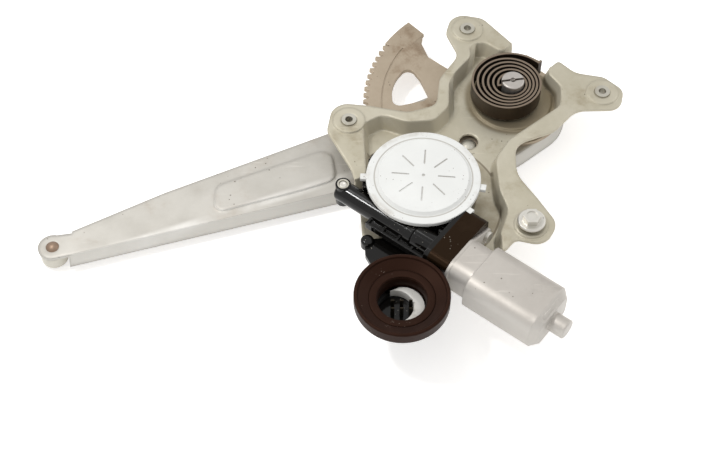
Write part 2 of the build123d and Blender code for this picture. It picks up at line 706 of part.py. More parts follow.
with BuildPart() as lift_arm:
    with BuildSketch(Plane.XY.offset(ARM_TOP)):
        with BuildLine():
            rounded_outline(ARM_OUTLINE)
        make_face()
    extrude(amount=-ARM_SKIRT, taper=-ARM_SKIRT_TAPER)
    with BuildSketch(Plane.XY.offset(ARM_TOP - ARM_SHEET)):
        with BuildLine():
            rounded_outline(ARM_OUTLINE)
        make_face()
        offset(amount=-ARM_SHEET * 0.7)
    extrude(amount=-ARM_SKIRT, taper=-ARM_SKIRT_TAPER, mode=Mode.SUBTRACT)
    # the tip end of the tray is cut away, and the tongue with the stud's hole carries on
    with BuildSketch(Plane.XY.offset(ARM_TOP)):
        with Locations((TRAY_END - 30, ARM_TIP[1])):
            Rectangle(60, 80)
    extrude(amount=-2 * ARM_SKIRT, mode=Mode.SUBTRACT)
    with BuildSketch(Plane.XY.offset(ARM_BOTTOM)):
        with Locations(ARM_TIP):
            Circle(TIP_RADIUS)
        with BuildLine():
            Polyline(
                (ARM_TIP[0] - 4.5, ARM_TIP[1] + 8.0),
                (TRAY_END + 1, -77.0),
                (TRAY_END + 1, -94.0),
                (ARM_TIP[0] + 2, ARM_TIP[1] - 9.0),
                close=True,
            )
        make_face()
    extrude(amount=ARM_SHEET)
    # stiffening panel, raised from the tray
    with BuildSketch(Plane.XY.offset(ARM_TOP)):
        with BuildLine():
            rounded_outline(PANEL_OUTLINE)
        make_face()
    extrude(amount=ARM_RISE, taper=PANEL_TAPER)
    with BuildSketch(Plane.XY.offset(ARM_BOTTOM)):
        with BuildLine():
            rounded_outline(PANEL_OUTLINE)
        make_face()
        offset(amount=-ARM_SHEET)
    extrude(amount=ARM_RISE, taper=PANEL_TAPER, mode=Mode.SUBTRACT)
    with BuildSketch(Plane.XY.offset(ARM_TOP)):
        with Locations(PIVOT):
            Circle(SHAFT_RADIUS)
        with Locations(ARM_TIP):
            Circle(STUD_RADIUS)
        with Locations(*RIVETS):
            Circle(RIVET_RADIUS)
    extrude(amount=-2 * ARM_SHEET, mode=Mode.SUBTRACT)

save(lift_arm.part, "lift_arm")


def dome(radius, height, level, way):
    """Half of a spherical cap's outline, from its edge to its crown on the axis."""
    sphere = (radius**2 + height**2) / (2 * height)
    half = asin(radius / sphere) / 2
    middle = (sphere * sin(half), level + way * (height - sphere + sphere * cos(half)))
    ThreePointArc((radius, level), middle, (0, level + way * height))


def rivet(radius, head_radius, top, bottom, top_head, bottom_head):
    """A rivet with domed heads on both sides of what it joins."""
    with BuildPart() as one:
        with BuildSketch(Plane.XZ):
            with BuildLine():
                dome(head_radius, top_head, top, 1)
                dome(head_radius, bottom_head, bottom, -1)
                Line((0, bottom - bottom_head), (0, top + top_head))
                Polyline((head_radius, top), (radius, top), (radius, bottom), (head_radius, bottom))
            make_face()
        revolve(axis=Axis.Z)
    return one.part


with BuildPart() as arm_rivets:
    with Locations(*[(x, y, 0) for x, y in RIVETS]):
        add(rivet(RIVET_RADIUS, RIVET_HEAD_RADIUS, SECTOR_TOP, ARM_BOTTOM, RIVET_HEAD, RIVET_HEAD))

save(arm_rivets.part, "arm_rivets")

ROLLER_TOP = ARM_BOTTOM - GAP
STUD_HEAD = 2.0

with BuildPart() as tip_stud:
    with Locations((*ARM_TIP, 0)):
        add(rivet(STUD_RADIUS, 4.2, ARM_TOP, ROLLER_TOP - ROLLER_WIDTH - GAP, STUD_HEAD, 1.5))

save(tip_stud.part, "tip_stud")

with BuildPart() as tip_roller:
    with BuildSketch(Plane.XY.offset(ROLLER_TOP - ROLLER_WIDTH)):
        with Locations(ARM_TIP):
            Circle(ROLLER_RADIUS)
    extrude(amount=ROLLER_WIDTH)
    fillet(tip_roller.edges(), radius=1.5)
    with BuildSketch(Plane.XY.offset(ROLLER_TOP)):
        with Locations(ARM_TIP):
            Circle(STUD_RADIUS + RUNNING_FIT)
    extrude(amount=-ROLLER_WIDTH, mode=Mode.SUBTRACT)

save(tip_roller.part, "tip_roller")

# ---------------------------------------------------------------------------------------------
# Gear box: the worm's axis passes the wheel at their centre distance
# ---------------------------------------------------------------------------------------------

WHEEL_PITCH_RADIUS = WORM_MODULE * WHEEL_TEETH / 2
WHEEL_TIP_RADIUS = WHEEL_PITCH_RADIUS + WORM_MODULE
WORM_DISTANCE = WHEEL_PITCH_RADIUS + WORM_PITCH_RADIUS
MOTOR_AXIS = (cos(radians(MOTOR_DIRECTION)), sin(radians(MOTOR_DIRECTION)), 0)
MOTOR_SIDE = (-MOTOR_AXIS[1], MOTOR_AXIS[0], 0)
MOTOR_PLANE = Plane(
    origin=(
        PINION[0] - WORM_DISTANCE * MOTOR_SIDE[0],
        PINION[1] - WORM_DISTANCE * MOTOR_SIDE[1],
        WORM_HEIGHT,
    ),
    x_dir=MOTOR_SIDE,
    z_dir=MOTOR_AXIS,
)
# in this plane x runs across the motor, y up and z along the armature, from the wheel's side

DRUM_TOP = COVER_TOP - COVER_SHEET
DRUM_WALL = 3.0
DRUM_FOOT_RADIUS = 31.0
DRUM_FOOT_TOP = -2.0
CAVITY_RADIUS = WHEEL_TIP_RADIUS + 0.9
WHEEL_BOTTOM = WORM_HEIGHT - WHEEL_WIDTH / 2
CAVITY_BOTTOM = WHEEL_BOTTOM - 1.0
TUBE_BORE = WORM_PITCH_RADIUS + WORM_MODULE + 0.4
TUBE_START = -42.0
TUBE_BORE_START = -32.0
COLLAR_RADIUS = 8.6
COLLAR_START = 19.0
COLLAR_GROOVE = 1.2
COLLAR_RING = 5.0
RIB_PLATE = 1.6
RIBS = 5
RIB_TOP = -1.0
RIB_START = -12.0
RIB_REACH = 5.0
BLOCK_WALL = 3.0
COVER_START = COVER_RADIUS + 0.5  # where the brush cover meets the gear box, clear of the lid
BLOCK_START = COVER_START - BLOCK_WALL
FLANGE_START = 51.0
FLANGE_SHEET = 2.0
YOKE_START = FLANGE_START + FLANGE_SHEET
YOKE_NECK = 14.0
YOKE_LENGTH = 66.0
YOKE_END = YOKE_START + YOKE_LENGTH
NUB_RADIUS = 6.2
NUB_LENGTH = 10.5
BLOCK_WIDTH = 45.0
BLOCK_HEIGHT = 25.0
BLOCK_OFFSET = 8.0
WEB_START = 12.0  # web between drum and block
FLANGE_SCREWS = [(-16.5, -13.5), (26.5, 0.0)]
FLANGE_EAR_RADIUS = 5.0
FLANGE_SCREW_RADIUS = 2.0
FLANGE_SCREW_HEAD_RADIUS = 3.8
FLANGE_SCREW_HEAD = 2.2
FLANGE_SCREW_LENGTH = 7.0  # of what enters the brush cover
YOKE_NECK_RADIUS = 15.5
BOSS_AT = -38.6
BOSS_RADIUS = 4.9
BOSS_WALL = 1.2
BOSS_TOP = WORM_HEIGHT + TUBE_RADIUS + 0.5
BOSS_BOTTOM = -6.0
BOSS = MOTOR_PLANE.from_local_coords((0, 0, BOSS_AT))
LUG_BEARINGS = (-3.0, -20.0, 150.0, 182.0, 262.0)


def lid_tabs(clearance, height):
    """The lid's tabs beside the drum, grown by a clearance."""
    with BuildPart() as tabs:
        with BuildSketch(Plane.XY.offset(COVER_TOP - SKIRT - clearance)):
            for bearing in COVER_TABS:
                middle = polar(COVER_RADIUS + COVER_TAB_REACH - COVER_TAB / 2, bearing, PINION)
                with Locations(Location((*middle, 0), (0, 0, bearing))):
                    Rectangle(COVER_TAB + 2 * clearance, COVER_TAB + 2 * clearance)
        extrude(amount=height + clearance)
    return tabs.part


with BuildPart() as gear_housing:
    # drum round the worm wheel
    with BuildSketch(Plane.XY.offset(FLOOR_TOP)):
        with Locations(PINION):
            Circle(DRUM_FOOT_RADIUS)
    extrude(amount=DRUM_FOOT_TOP - FLOOR_TOP)
    with BuildSketch(Plane.XY.offset(DRUM_FOOT_TOP)):
        with Locations(PINION):
            Circle(DRUM_RADIUS)
    extrude(amount=DRUM_TOP - DRUM_FOOT_TOP)
    # worm tube, its collar and the block that faces the motor
    with BuildSketch(MOTOR_PLANE.offset(TUBE_START)):
        Circle(TUBE_RADIUS)
    extrude(amount=BLOCK_START - TUBE_START)
    fillet(gear_housing.edges().sort_by(Axis(MOTOR_PLANE.origin, MOTOR_AXIS))[0], radius=2.5)
    with BuildSketch(MOTOR_PLANE.offset(COLLAR_START)):
        Circle(COLLAR_RADIUS)
    extrude(amount=BLOCK_START - COLLAR_START)
    with BuildSketch(MOTOR_PLANE.offset(COLLAR_START - COLLAR_GROOVE - COLLAR_RING)):
        Circle((TUBE_RADIUS + COLLAR_RADIUS) / 2)
    extrude(amount=COLLAR_RING)
    # ribs that stiffen the tube on its outer side
    with BuildSketch(MOTOR_PLANE.offset(RIB_START)):
        with Locations((-TUBE_RADIUS - RIB_REACH / 2 + 2, RIB_TOP)):
            Rectangle(RIB_REACH + 4, RIB_PLATE)
    extrude(amount=BLOCK_START - RIB_START)
    with BuildSketch(MOTOR_PLANE.offset(RIB_START)):
        with Locations((-TUBE_RADIUS - RIB_REACH + RIB_PLATE / 2, RIB_TOP)):
            Rectangle(RIB_PLATE, 3 * RIB_PLATE)
    extrude(amount=BLOCK_START - RIB_START)
    for i in range(RIBS):
        along = RIB_START + i * (BLOCK_START - RIB_START - RIB_PLATE) / (RIBS - 1)
        with BuildSketch(MOTOR_PLANE.offset(along)):
            with Locations((-TUBE_RADIUS - RIB_REACH / 2 + 1, RIB_TOP)):
                Rectangle(RIB_REACH + 2, 3 * RIB_PLATE)
        extrude(amount=RIB_PLATE)
    with BuildSketch(MOTOR_PLANE.offset(BLOCK_START)):
        with Locations((BLOCK_OFFSET, 0)):
            RectangleRounded(BLOCK_WIDTH, BLOCK_HEIGHT, 5)
    extrude(amount=BLOCK_WALL)
    # web between drum and block
    with BuildSketch(MOTOR_PLANE.offset(WEB_START)):
        with Locations((BLOCK_OFFSET + BLOCK_WIDTH / 2 - WEB_START, -2)):
            Rectangle(14, BLOCK_HEIGHT - 8)
    extrude(amount=BLOCK_START - WEB_START)
    # end boss with the metal sleeve
    with BuildSketch(Plane.XY.offset(BOSS_BOTTOM)):
        with Locations((BOSS.X, BOSS.Y)):
            Circle(BOSS_RADIUS)
    extrude(amount=BOSS_TOP - BOSS_BOTTOM)
    # lugs that hold the cover
    with BuildSketch(Plane.XY.offset(DRUM_TOP - 9)):
        for bearing in LUG_BEARINGS:
            with Locations(Location((*polar(DRUM_RADIUS + 1, bearing, PINION), 0), (0, 0, bearing))):
                RectangleRounded(5.5, 7.0, 1.2)
    extrude(amount=6.0)
    # spigot in the plate
    with BuildSketch(Plane.XY.offset(FLOOR_BOTTOM)):
        with Locations(PINION):
            Circle(PILOT_RADIUS - RUNNING_FIT)
    extrude(amount=SHEET)
    # room for the lid's skirt
    with BuildSketch(Plane.XY.offset(COVER_TOP - SKIRT - 0.1)):
        with Locations(PINION):
            Circle(COVER_RADIUS + GAP)
            Circle(DRUM_RADIUS, mode=Mode.SUBTRACT)
    extrude(amount=20, mode=Mode.SUBTRACT)
    with BuildSketch(Plane.XY.offset(DRUM_TOP)):
        with Locations(PINION):
            Circle(COVER_RADIUS)
    extrude(amount=20, mode=Mode.SUBTRACT)
    add(lid_tabs(GAP, COVER_TOP), mode=Mode.SUBTRACT)
    # inside: wheel chamber, worm bore, shaft bearing, screw holes
    with BuildSketch(Plane.XY.offset(DRUM_TOP)):
        with Locations(PINION):
            Circle(CAVITY_RADIUS)
    extrude(amount=CAVITY_BOTTOM - DRUM_TOP, mode=Mode.SUBTRACT)
    with BuildSketch(MOTOR_PLANE.offset(TUBE_BORE_START)):
        Circle(TUBE_BORE)
    extrude(amount=COVER_START - TUBE_BORE_START, mode=Mode.SUBTRACT)
    with BuildSketch(Plane.XY.offset(FLOOR_BOTTOM)):
        with Locations(PINION):
            Circle(PINION_SHAFT_RADIUS + RUNNING_FIT)
    extrude(amount=DRUM_TOP - FLOOR_BOTTOM, mode=Mode.SUBTRACT)
    with BuildSketch(Plane.XY.offset(FLOOR_TOP)):
        with Locations(*MOTOR_SCREWS):
            Circle(SCREW_RADIUS)
    extrude(amount=SCREW_LENGTH - SHEET, mode=Mode.SUBTRACT)
    with BuildSketch(Plane.XY.offset(BOSS_TOP)):
        with Locations((BOSS.X, BOSS.Y)):
            Circle(BOSS_RADIUS - BOSS_WALL)
    extrude(amount=BOSS_BOTTOM - BOSS_TOP, mode=Mode.SUBTRACT)

save(gear_housing.part, "gear_housing")

with BuildPart() as boss_sleeve:
    with BuildSketch(Plane.XY.offset(BOSS_BOTTOM)):
        with Locations((BOSS.X, BOSS.Y)):
            Circle(BOSS_RADIUS - BOSS_WALL)
            Circle(BOSS_RADIUS - BOSS_WALL - 1.0, mode=Mode.SUBTRACT)
    extrude(amount=BOSS_TOP + 0.3 - BOSS_BOTTOM)

save(boss_sleeve.part, "boss_sleeve")

with BuildPart() as motor_screws:
    with BuildSketch(Plane.XY.offset(FLOOR_BOTTOM)):
        with Locations(*MOTOR_SCREWS):
            Circle(SCREW_HEAD_RADIUS)
    extrude(amount=SHEET, taper=45)
    with BuildSketch(Plane.XY.offset(FLOOR_BOTTOM)):
        with Locations(*MOTOR_SCREWS):
            Circle(SCREW_RADIUS)
    extrude(amount=SCREW_LENGTH - 0.3)
    with BuildSketch(Plane.XY.offset(FLOOR_BOTTOM)):
        with Locations(*MOTOR_SCREWS):
            RegularPolygon(1.4, 6)
    extrude(amount=1.2, mode=Mode.SUBTRACT)

save(motor_screws.part, "motor_screws")

with BuildPart() as gear_cover:
    with BuildSketch(Plane.XY.offset(COVER_TOP - COVER_SHEET)):
        with Locations(PINION):
            Circle(COVER_RADIUS)
    extrude(amount=COVER_SHEET)
    with BuildSketch(Plane.XY.offset(COVER_TOP - SKIRT)):
        with Locations(PINION):
            Circle(COVER_RADIUS)
            Circle(DRUM_RADIUS + 0.1, mode=Mode.SUBTRACT)
    extrude(amount=SKIRT)
    with BuildSketch(Plane.XY.offset(COVER_TOP)):
        with Locations(PINION):
            Circle(COVER_PLATEAU_RADIUS)
    extrude(amount=COVER_PLATEAU_RISE, taper=40)
    with BuildSketch(Plane.XY.offset(COVER_TOP - COVER_SHEET)):
        with Locations(PINION):
            Circle(COVER_PLATEAU_RADIUS - COVER_SHEET)
    extrude(amount=COVER_PLATEAU_RISE, taper=40, mode=Mode.SUBTRACT)
    fillet(gear_cover.edges().filter_by(GeomType.CIRCLE).sort_by(SortBy.RADIUS)[-2:], radius=0.6)
    # star of creases round a centre mark
    with BuildSketch(Plane.XY.offset(COVER_TOP + COVER_PLATEAU_RISE)):
        with Locations(PINION):
            Circle(1.1 * CREASE_WIDTH)
            with PolarLocations(CREASE_REACH, CREASES, start_angle=CREASE_BEARING):
                SlotOverall(CREASE_LENGTH, CREASE_WIDTH)
    extrude(amount=-CREASE_DEPTH, mode=Mode.SUBTRACT)
    add(lid_tabs(0, COVER_TAB_HEIGHT))

save(gear_cover.part, "gear_cover")

# ---------------------------------------------------------------------------------------------
# Worm wheel, damper and output pinion
# ---------------------------------------------------------------------------------------------

WEB = 2.4
RIM_INNER = WHEEL_PITCH_RADIUS - WORM_MODULE - 2.6
HUB_OUTER = 10.0
DRIVE_SHEET = 1.6
DRIVE_TOP = WHEEL_BOTTOM + WHEEL_WIDTH + 0.6
PINION_BOTTOM = ARM_TOP + 0.5
PINION_TOP = FLOOR_BOTTOM - GAP

with BuildPart() as worm_wheel:
    with BuildSketch(Plane.XY.offset(WHEEL_BOTTOM)):
        with Locations(PINION):
            Circle(WHEEL_PITCH_RADIUS - 1.2 * WORM_MODULE)
        for i in range(WHEEL_TEETH):
            with BuildLine():
                tooth_outline(
                    WHEEL_TEETH,
                    WORM_MODULE,
                    WHEEL_PITCH_RADIUS - 1.2 * WORM_MODULE,
                    WHEEL_PITCH_RADIUS + 0.8 * WORM_MODULE,
                    PINION,
                    i * 360 / WHEEL_TEETH,
                )
            make_face()
    extrude(amount=WHEEL_WIDTH)
    with BuildSketch(Plane.XY.offset(WHEEL_BOTTOM + WEB)):
        with Locations(PINION):
            Circle(RIM_INNER)
            Circle(HUB_OUTER, mode=Mode.SUBTRACT)
    extrude(amount=WHEEL_WIDTH, mode=Mode.SUBTRACT)
    with BuildSketch(Plane.XY.offset(DRIVE_TOP - DRIVE_SHEET)):
        with Locations(PINION):
            Circle(RIM_INNER)
    extrude(amount=WHEEL_WIDTH, mode=Mode.SUBTRACT)
    with BuildSketch(Plane.XY.offset(WHEEL_BOTTOM)):
        with Locations(PINION):
            Circle(PINION_SHAFT_RADIUS + RUNNING_FIT)
    extrude(amount=WHEEL_WIDTH, mode=Mode.SUBTRACT)

save(worm_wheel.part, "worm_wheel")

with BuildPart() as damper:
    with BuildSketch(Plane.XY.offset(WHEEL_BOTTOM + WEB)):
        with Locations(PINION):
            Circle(RIM_INNER - 0.1)
            Circle(HUB_OUTER + 0.1, mode=Mode.SUBTRACT)
            with PolarLocations((RIM_INNER + HUB_OUTER) / 2, 3):
                Rectangle(RIM_INNER - HUB_OUTER - 4, 3.0, mode=Mode.SUBTRACT)
    extrude(amount=WHEEL_WIDTH - WEB - DRIVE_SHEET)

save(damper.part, "damper")

with BuildPart() as drive_plate:
    with BuildSketch(Plane.XY.offset(DRIVE_TOP - DRIVE_SHEET)):
        with Locations(PINION):
            Circle(RIM_INNER - 0.6)
            RegularPolygon(PINION_SHAFT_RADIUS - 1.0, 6, mode=Mode.SUBTRACT)
    extrude(amount=DRIVE_SHEET)
    with BuildSketch(Plane.XY.offset(DRIVE_TOP - DRIVE_SHEET)):
        with Locations(PINION):
            with PolarLocations((RIM_INNER + HUB_OUTER) / 2, 3):
                Rectangle(RIM_INNER - HUB_OUTER - 4.4, 2.6)
    extrude(amount=-(WHEEL_WIDTH - WEB - DRIVE_SHEET - 0.5))

save(drive_plate.part, "drive_plate")

with BuildPart() as output_pinion:
    with BuildSketch(Plane.XY.offset(PINION_BOTTOM)):
        with Locations(PINION):
            Circle(MODULE * (PINION_TEETH / 2 - 1.3))
        for i in range(PINION_TEETH):
            with BuildLine():
                tooth_outline(
                    PINION_TEETH,
                    MODULE,
                    MODULE * (PINION_TEETH / 2 - 1.3),
                    MODULE * (PINION_TEETH / 2 + 1.0),
                    PINION,
                    PINION_PHASE + i * 360 / PINION_TEETH,
                )
            make_face()
    extrude(amount=PINION_TOP - PINION_BOTTOM)
    with BuildSketch(Plane.XY.offset(PINION_TOP)):
        with Locations(PINION):
            Circle(PINION_SHAFT_RADIUS)
    extrude(amount=DRIVE_TOP - DRIVE_SHEET - PINION_TOP)
    with BuildSketch(Plane.XY.offset(DRIVE_TOP - DRIVE_SHEET)):
        with Locations(PINION):
            RegularPolygon(PINION_SHAFT_RADIUS - 1.05, 6)
    extrude(amount=DRIVE_SHEET)
    with BuildSketch(Plane.XY.offset(DRIVE_TOP)):
        with Locations(PINION):
            Circle(PINION_SHAFT_RADIUS - 2.0)
    extrude(amount=3.0)

save(output_pinion.part, "output_pinion")

# ---------------------------------------------------------------------------------------------
# Motor
# ---------------------------------------------------------------------------------------------

CORE_RADIUS = 11.5
CORE_INSET = 16.0  # from the can's open end
CORE_END_ROOM = 20.0  # to its closed end
CORE_START = YOKE_START + CORE_INSET
CORE_LENGTH = YOKE_LENGTH - CORE_INSET - CORE_END_ROOM
END_TURNS = 6.0  # how far the windings stand out of the core
AIR_GAP = 0.8
MAGNET_OVERHANG = 3.0
MAGNET_HEIGHT = 15.0
COMMUTATOR_RADIUS = 6.5
COMMUTATOR_START = COVER_START + 3.5
COMMUTATOR_LENGTH = 10.0
BRUSH_CAVITY = 12.0
BRUSH_COVER_WALL = 2.5
WORM_LENGTH = 24.0
WORM_CORE_RADIUS = WORM_PITCH_RADIUS - 1.2 * WORM_MODULE


def can_section(radius, thickness):
    """The section of a flat-sided motor can."""
    RectangleRounded(2 * radius, thickness, 0.33 * thickness)


with BuildPart() as motor_yoke:
    with BuildSketch(MOTOR_PLANE.offset(YOKE_START)):
        can_section(YOKE_NECK_RADIUS, YOKE_THICKNESS - 1)
    extrude(amount=YOKE_NECK)
    with BuildSketch(MOTOR_PLANE.offset(YOKE_START + YOKE_NECK)):
        can_section(YOKE_RADIUS, YOKE_THICKNESS)
    extrude(amount=YOKE_LENGTH - YOKE_NECK)
    chamfer(
        motor_yoke.faces().sort_by(Axis(MOTOR_PLANE.origin, MOTOR_AXIS))[-1].edges(),
        length=YOKE_BEVEL,
    )
    with BuildSketch(MOTOR_PLANE.offset(YOKE_END)):
        Circle(NUB_RADIUS)
    extrude(amount=NUB_LENGTH)
    fillet(motor_yoke.faces().sort_by(Axis(MOTOR_PLANE.origin, MOTOR_AXIS))[-1].edges(), radius=1.0)
    with BuildSketch(MOTOR_PLANE.offset(FLANGE_START)):
        with Locations(*FLANGE_SCREWS):
            Circle(FLANGE_EAR_RADIUS)
        can_section(YOKE_NECK_RADIUS + 1.0, YOKE_THICKNESS - 2)
        make_hull()
    extrude(amount=FLANGE_SHEET)
    with BuildSketch(MOTOR_PLANE.offset(FLANGE_START)):
        can_section(YOKE_NECK_RADIUS - YOKE_WALL, YOKE_THICKNESS - 1 - 2 * YOKE_WALL)
    extrude(amount=YOKE_LENGTH + FLANGE_SHEET - YOKE_WALL, mode=Mode.SUBTRACT)
    with BuildSketch(MOTOR_PLANE.offset(YOKE_END - YOKE_WALL)):
        Circle(NUB_RADIUS - YOKE_WALL)
    extrude(amount=NUB_LENGTH, mode=Mode.SUBTRACT)
    with BuildSketch(MOTOR_PLANE.offset(FLANGE_START)):
        with Locations(*FLANGE_SCREWS):
            Circle(FLANGE_SCREW_RADIUS + 0.1)
    extrude(amount=FLANGE_SHEET, mode=Mode.SUBTRACT)

save(motor_yoke.part, "motor_yoke")

with BuildPart() as magnets:
    with BuildSketch(MOTOR_PLANE.offset(CORE_START - MAGNET_OVERHANG)):
        Circle(YOKE_NECK_RADIUS - YOKE_WALL - 0.05)
        Circle(CORE_RADIUS + AIR_GAP, mode=Mode.SUBTRACT)
        Rectangle(3 * YOKE_RADIUS, MAGNET_HEIGHT, mode=Mode.INTERSECT)
    extrude(amount=CORE_LENGTH + 2 * MAGNET_OVERHANG)

save(magnets.part, "magnets")

with BuildPart() as flange_screws:
    with BuildSketch(MOTOR_PLANE.offset(FLANGE_START + FLANGE_SHEET)):
        with Locations(*FLANGE_SCREWS):
            Circle(FLANGE_SCREW_HEAD_RADIUS)
    extrude(amount=FLANGE_SCREW_HEAD)
    with BuildSketch(MOTOR_PLANE.offset(FLANGE_START + FLANGE_SHEET)):
        with Locations(*FLANGE_SCREWS):
            Circle(FLANGE_SCREW_RADIUS)
    extrude(amount=-FLANGE_SHEET - FLANGE_SCREW_LENGTH)

save(flange_screws.part, "flange_screws")

with BuildPart() as brush_cover:
    with BuildSketch(MOTOR_PLANE.offset(COVER_START)):
        with Locations((BLOCK_OFFSET, 0)):
            RectangleRounded(BLOCK_WIDTH, BLOCK_HEIGHT, 5)
    extrude(amount=FLANGE_START - COVER_START)
    add(lid_tabs(GAP, COVER_TOP), mode=Mode.SUBTRACT)
    with BuildSketch(MOTOR_PLANE.offset(FLANGE_START - FLANGE_SCREW_LENGTH)):
        with Locations(FLANGE_SCREWS[0]):
            Circle(FLANGE_EAR_RADIUS - 0.5)
    extrude(amount=FLANGE_SCREW_LENGTH)
    with BuildSketch(MOTOR_PLANE.offset(COVER_START + BRUSH_COVER_WALL)):
        RectangleRounded(2 * BRUSH_CAVITY, BLOCK_HEIGHT - 6, 3)
    extrude(amount=FLANGE_START - COVER_START - BRUSH_COVER_WALL, mode=Mode.SUBTRACT)
    with BuildSketch(MOTOR_PLANE.offset(COVER_START)):
        Circle(TUBE_BORE)
    extrude(amount=5, mode=Mode.SUBTRACT)
    with BuildSketch(MOTOR_PLANE.offset(FLANGE_START)):
        with Locations(*FLANGE_SCREWS):
            Circle(FLANGE_SCREW_RADIUS)
    extrude(amount=-FLANGE_SCREW_LENGTH, mode=Mode.SUBTRACT)

save(brush_cover.part, "brush_cover")

with BuildPart() as armature_shaft:
    with BuildSketch(MOTOR_PLANE.offset(TUBE_BORE_START + 2)):
        Circle(ARMATURE_SHAFT_RADIUS)
    extrude(amount=YOKE_END + NUB_LENGTH - YOKE_WALL - 2 - TUBE_BORE_START - 2)
    with BuildSketch(MOTOR_PLANE.offset(-WORM_LENGTH / 2)):
        Circle(WORM_CORE_RADIUS)
    extrude(amount=WORM_LENGTH)

save(armature_shaft.part, "armature_shaft")

with BuildPart() as armature_core:
    with BuildSketch(MOTOR_PLANE.offset(CORE_START)):
        Circle(CORE_RADIUS)
        with PolarLocations(CORE_RADIUS - 1.0, 8):
            Rectangle(4.0, 1.6, mode=Mode.SUBTRACT)
        Circle(ARMATURE_SHAFT_RADIUS, mode=Mode.SUBTRACT)
    extrude(amount=CORE_LENGTH)

save(armature_core.part, "armature_core")

with BuildPart() as windings:
    for start in (CORE_START - END_TURNS, CORE_START + CORE_LENGTH):
        with BuildSketch(MOTOR_PLANE.offset(start)):
            Circle(CORE_RADIUS - 1.5)
            Circle(ARMATURE_SHAFT_RADIUS, mode=Mode.SUBTRACT)
        extrude(amount=END_TURNS)

save(windings.part, "windings")

with BuildPart() as commutator:
    with BuildSketch(MOTOR_PLANE.offset(COMMUTATOR_START)):
        Circle(COMMUTATOR_RADIUS)
        with PolarLocations(COMMUTATOR_RADIUS, 8):
            Rectangle(1.2, 0.6, mode=Mode.SUBTRACT)
        Circle(ARMATURE_SHAFT_RADIUS, mode=Mode.SUBTRACT)
    extrude(amount=COMMUTATOR_LENGTH)

save(commutator.part, "commutator")

with BuildPart() as brushes:
    with BuildSketch(MOTOR_PLANE.offset(COMMUTATOR_START + 3)):
        for side in (-1, 1):
            with Locations((side * (BRUSH_CAVITY + COMMUTATOR_RADIUS + 0.3) / 2, 0)):
                Rectangle(BRUSH_CAVITY - COMMUTATOR_RADIUS - 0.4, 5.0)
    extrude(amount=6.0)

save(brushes.part, "brushes")

BEARING_LENGTH = 7.0
with BuildPart() as shaft_bearings:
    with BuildSketch(MOTOR_PLANE.offset(COLLAR_START - 2)):
        Circle(TUBE_BORE - 0.01)
        Circle(ARMATURE_SHAFT_RADIUS + RUNNING_FIT, mode=Mode.SUBTRACT)
    extrude(amount=BEARING_LENGTH)
    with BuildSketch(MOTOR_PLANE.offset(YOKE_END - YOKE_WALL + 1)):
        Circle(NUB_RADIUS - YOKE_WALL - 0.01)
        Circle(ARMATURE_SHAFT_RADIUS + RUNNING_FIT, mode=Mode.SUBTRACT)
    extrude(amount=BEARING_LENGTH)

save(shaft_bearings.part, "shaft_bearings")

# ---------------------------------------------------------------------------------------------
# Connector: housing on the brush cover's side, and the seal that meets the door panel
# ---------------------------------------------------------------------------------------------

SEAL_THICKNESS = 9.5
SEAL_NECK_WALL = 3.0
SEAL_NECK_LENGTH = 4.0
SEAL_BOTTOM = SEAL_TOP - SEAL_THICKNESS
SEAL_OPENING = CONNECTOR_RADIUS + 0.1
SEAL_NECK = CONNECTOR_RADIUS + SEAL_NECK_WALL
SEAL_NECK_BOTTOM = SEAL_BOTTOM - SEAL_NECK_LENGTH
CONNECTOR_BOTTOM = -8.0
CONNECTOR_FLOOR = 3.0
CONNECTOR_TOP = SEAL_TOP - 5.0
LIP_WIDTH = 2.2  # of the seal's raised edge
LIP_RISE = 1.2
FUNNEL_DROP = 4.0
BRACKET_TOP = -4.2
BRACKET = [
    (10.0, -92.5, 3.0),
    (31.5, -90.5, 1.0),
    (41.5, -107.5, 2.0),
    (39.0, -131.0, 1.0),
    (24.0, -131.0, 1.0),
    (10.5, -104.0, 3.0),
]
HOOK = (11.8, -94.2)
HOOK_RADIUS = 4.2
HOOK_RISE = 3.0  # over the bracket
INSERT_RADIUS = 14.2
INSERT_SHIFT = (-3.0, -3.0)  # of the circle that leaves the crescent
INSERT_WALL = 1.5
INSERT_HEIGHT = 6.5
TERMINAL_SPACING = 5.5
TERMINAL_LENGTH = 9.0


def beside_motor(across, along):
    """A plan point, from its places across and along the motor."""
    point = MOTOR_PLANE.from_local_coords((across, 0, along))
    return (point.X, point.Y)


BLOCK_SIDE = BLOCK_OFFSET - BLOCK_WIDTH / 2
CONNECTOR_ARM = [
    beside_motor(BLOCK_SIDE, COVER_START + 1),
    beside_motor(BLOCK_SIDE, COVER_START + 6),
    beside_motor(BLOCK_SIDE - 18, COVER_START + 7),
    beside_motor(BLOCK_SIDE - 18, COVER_START - 4),
]

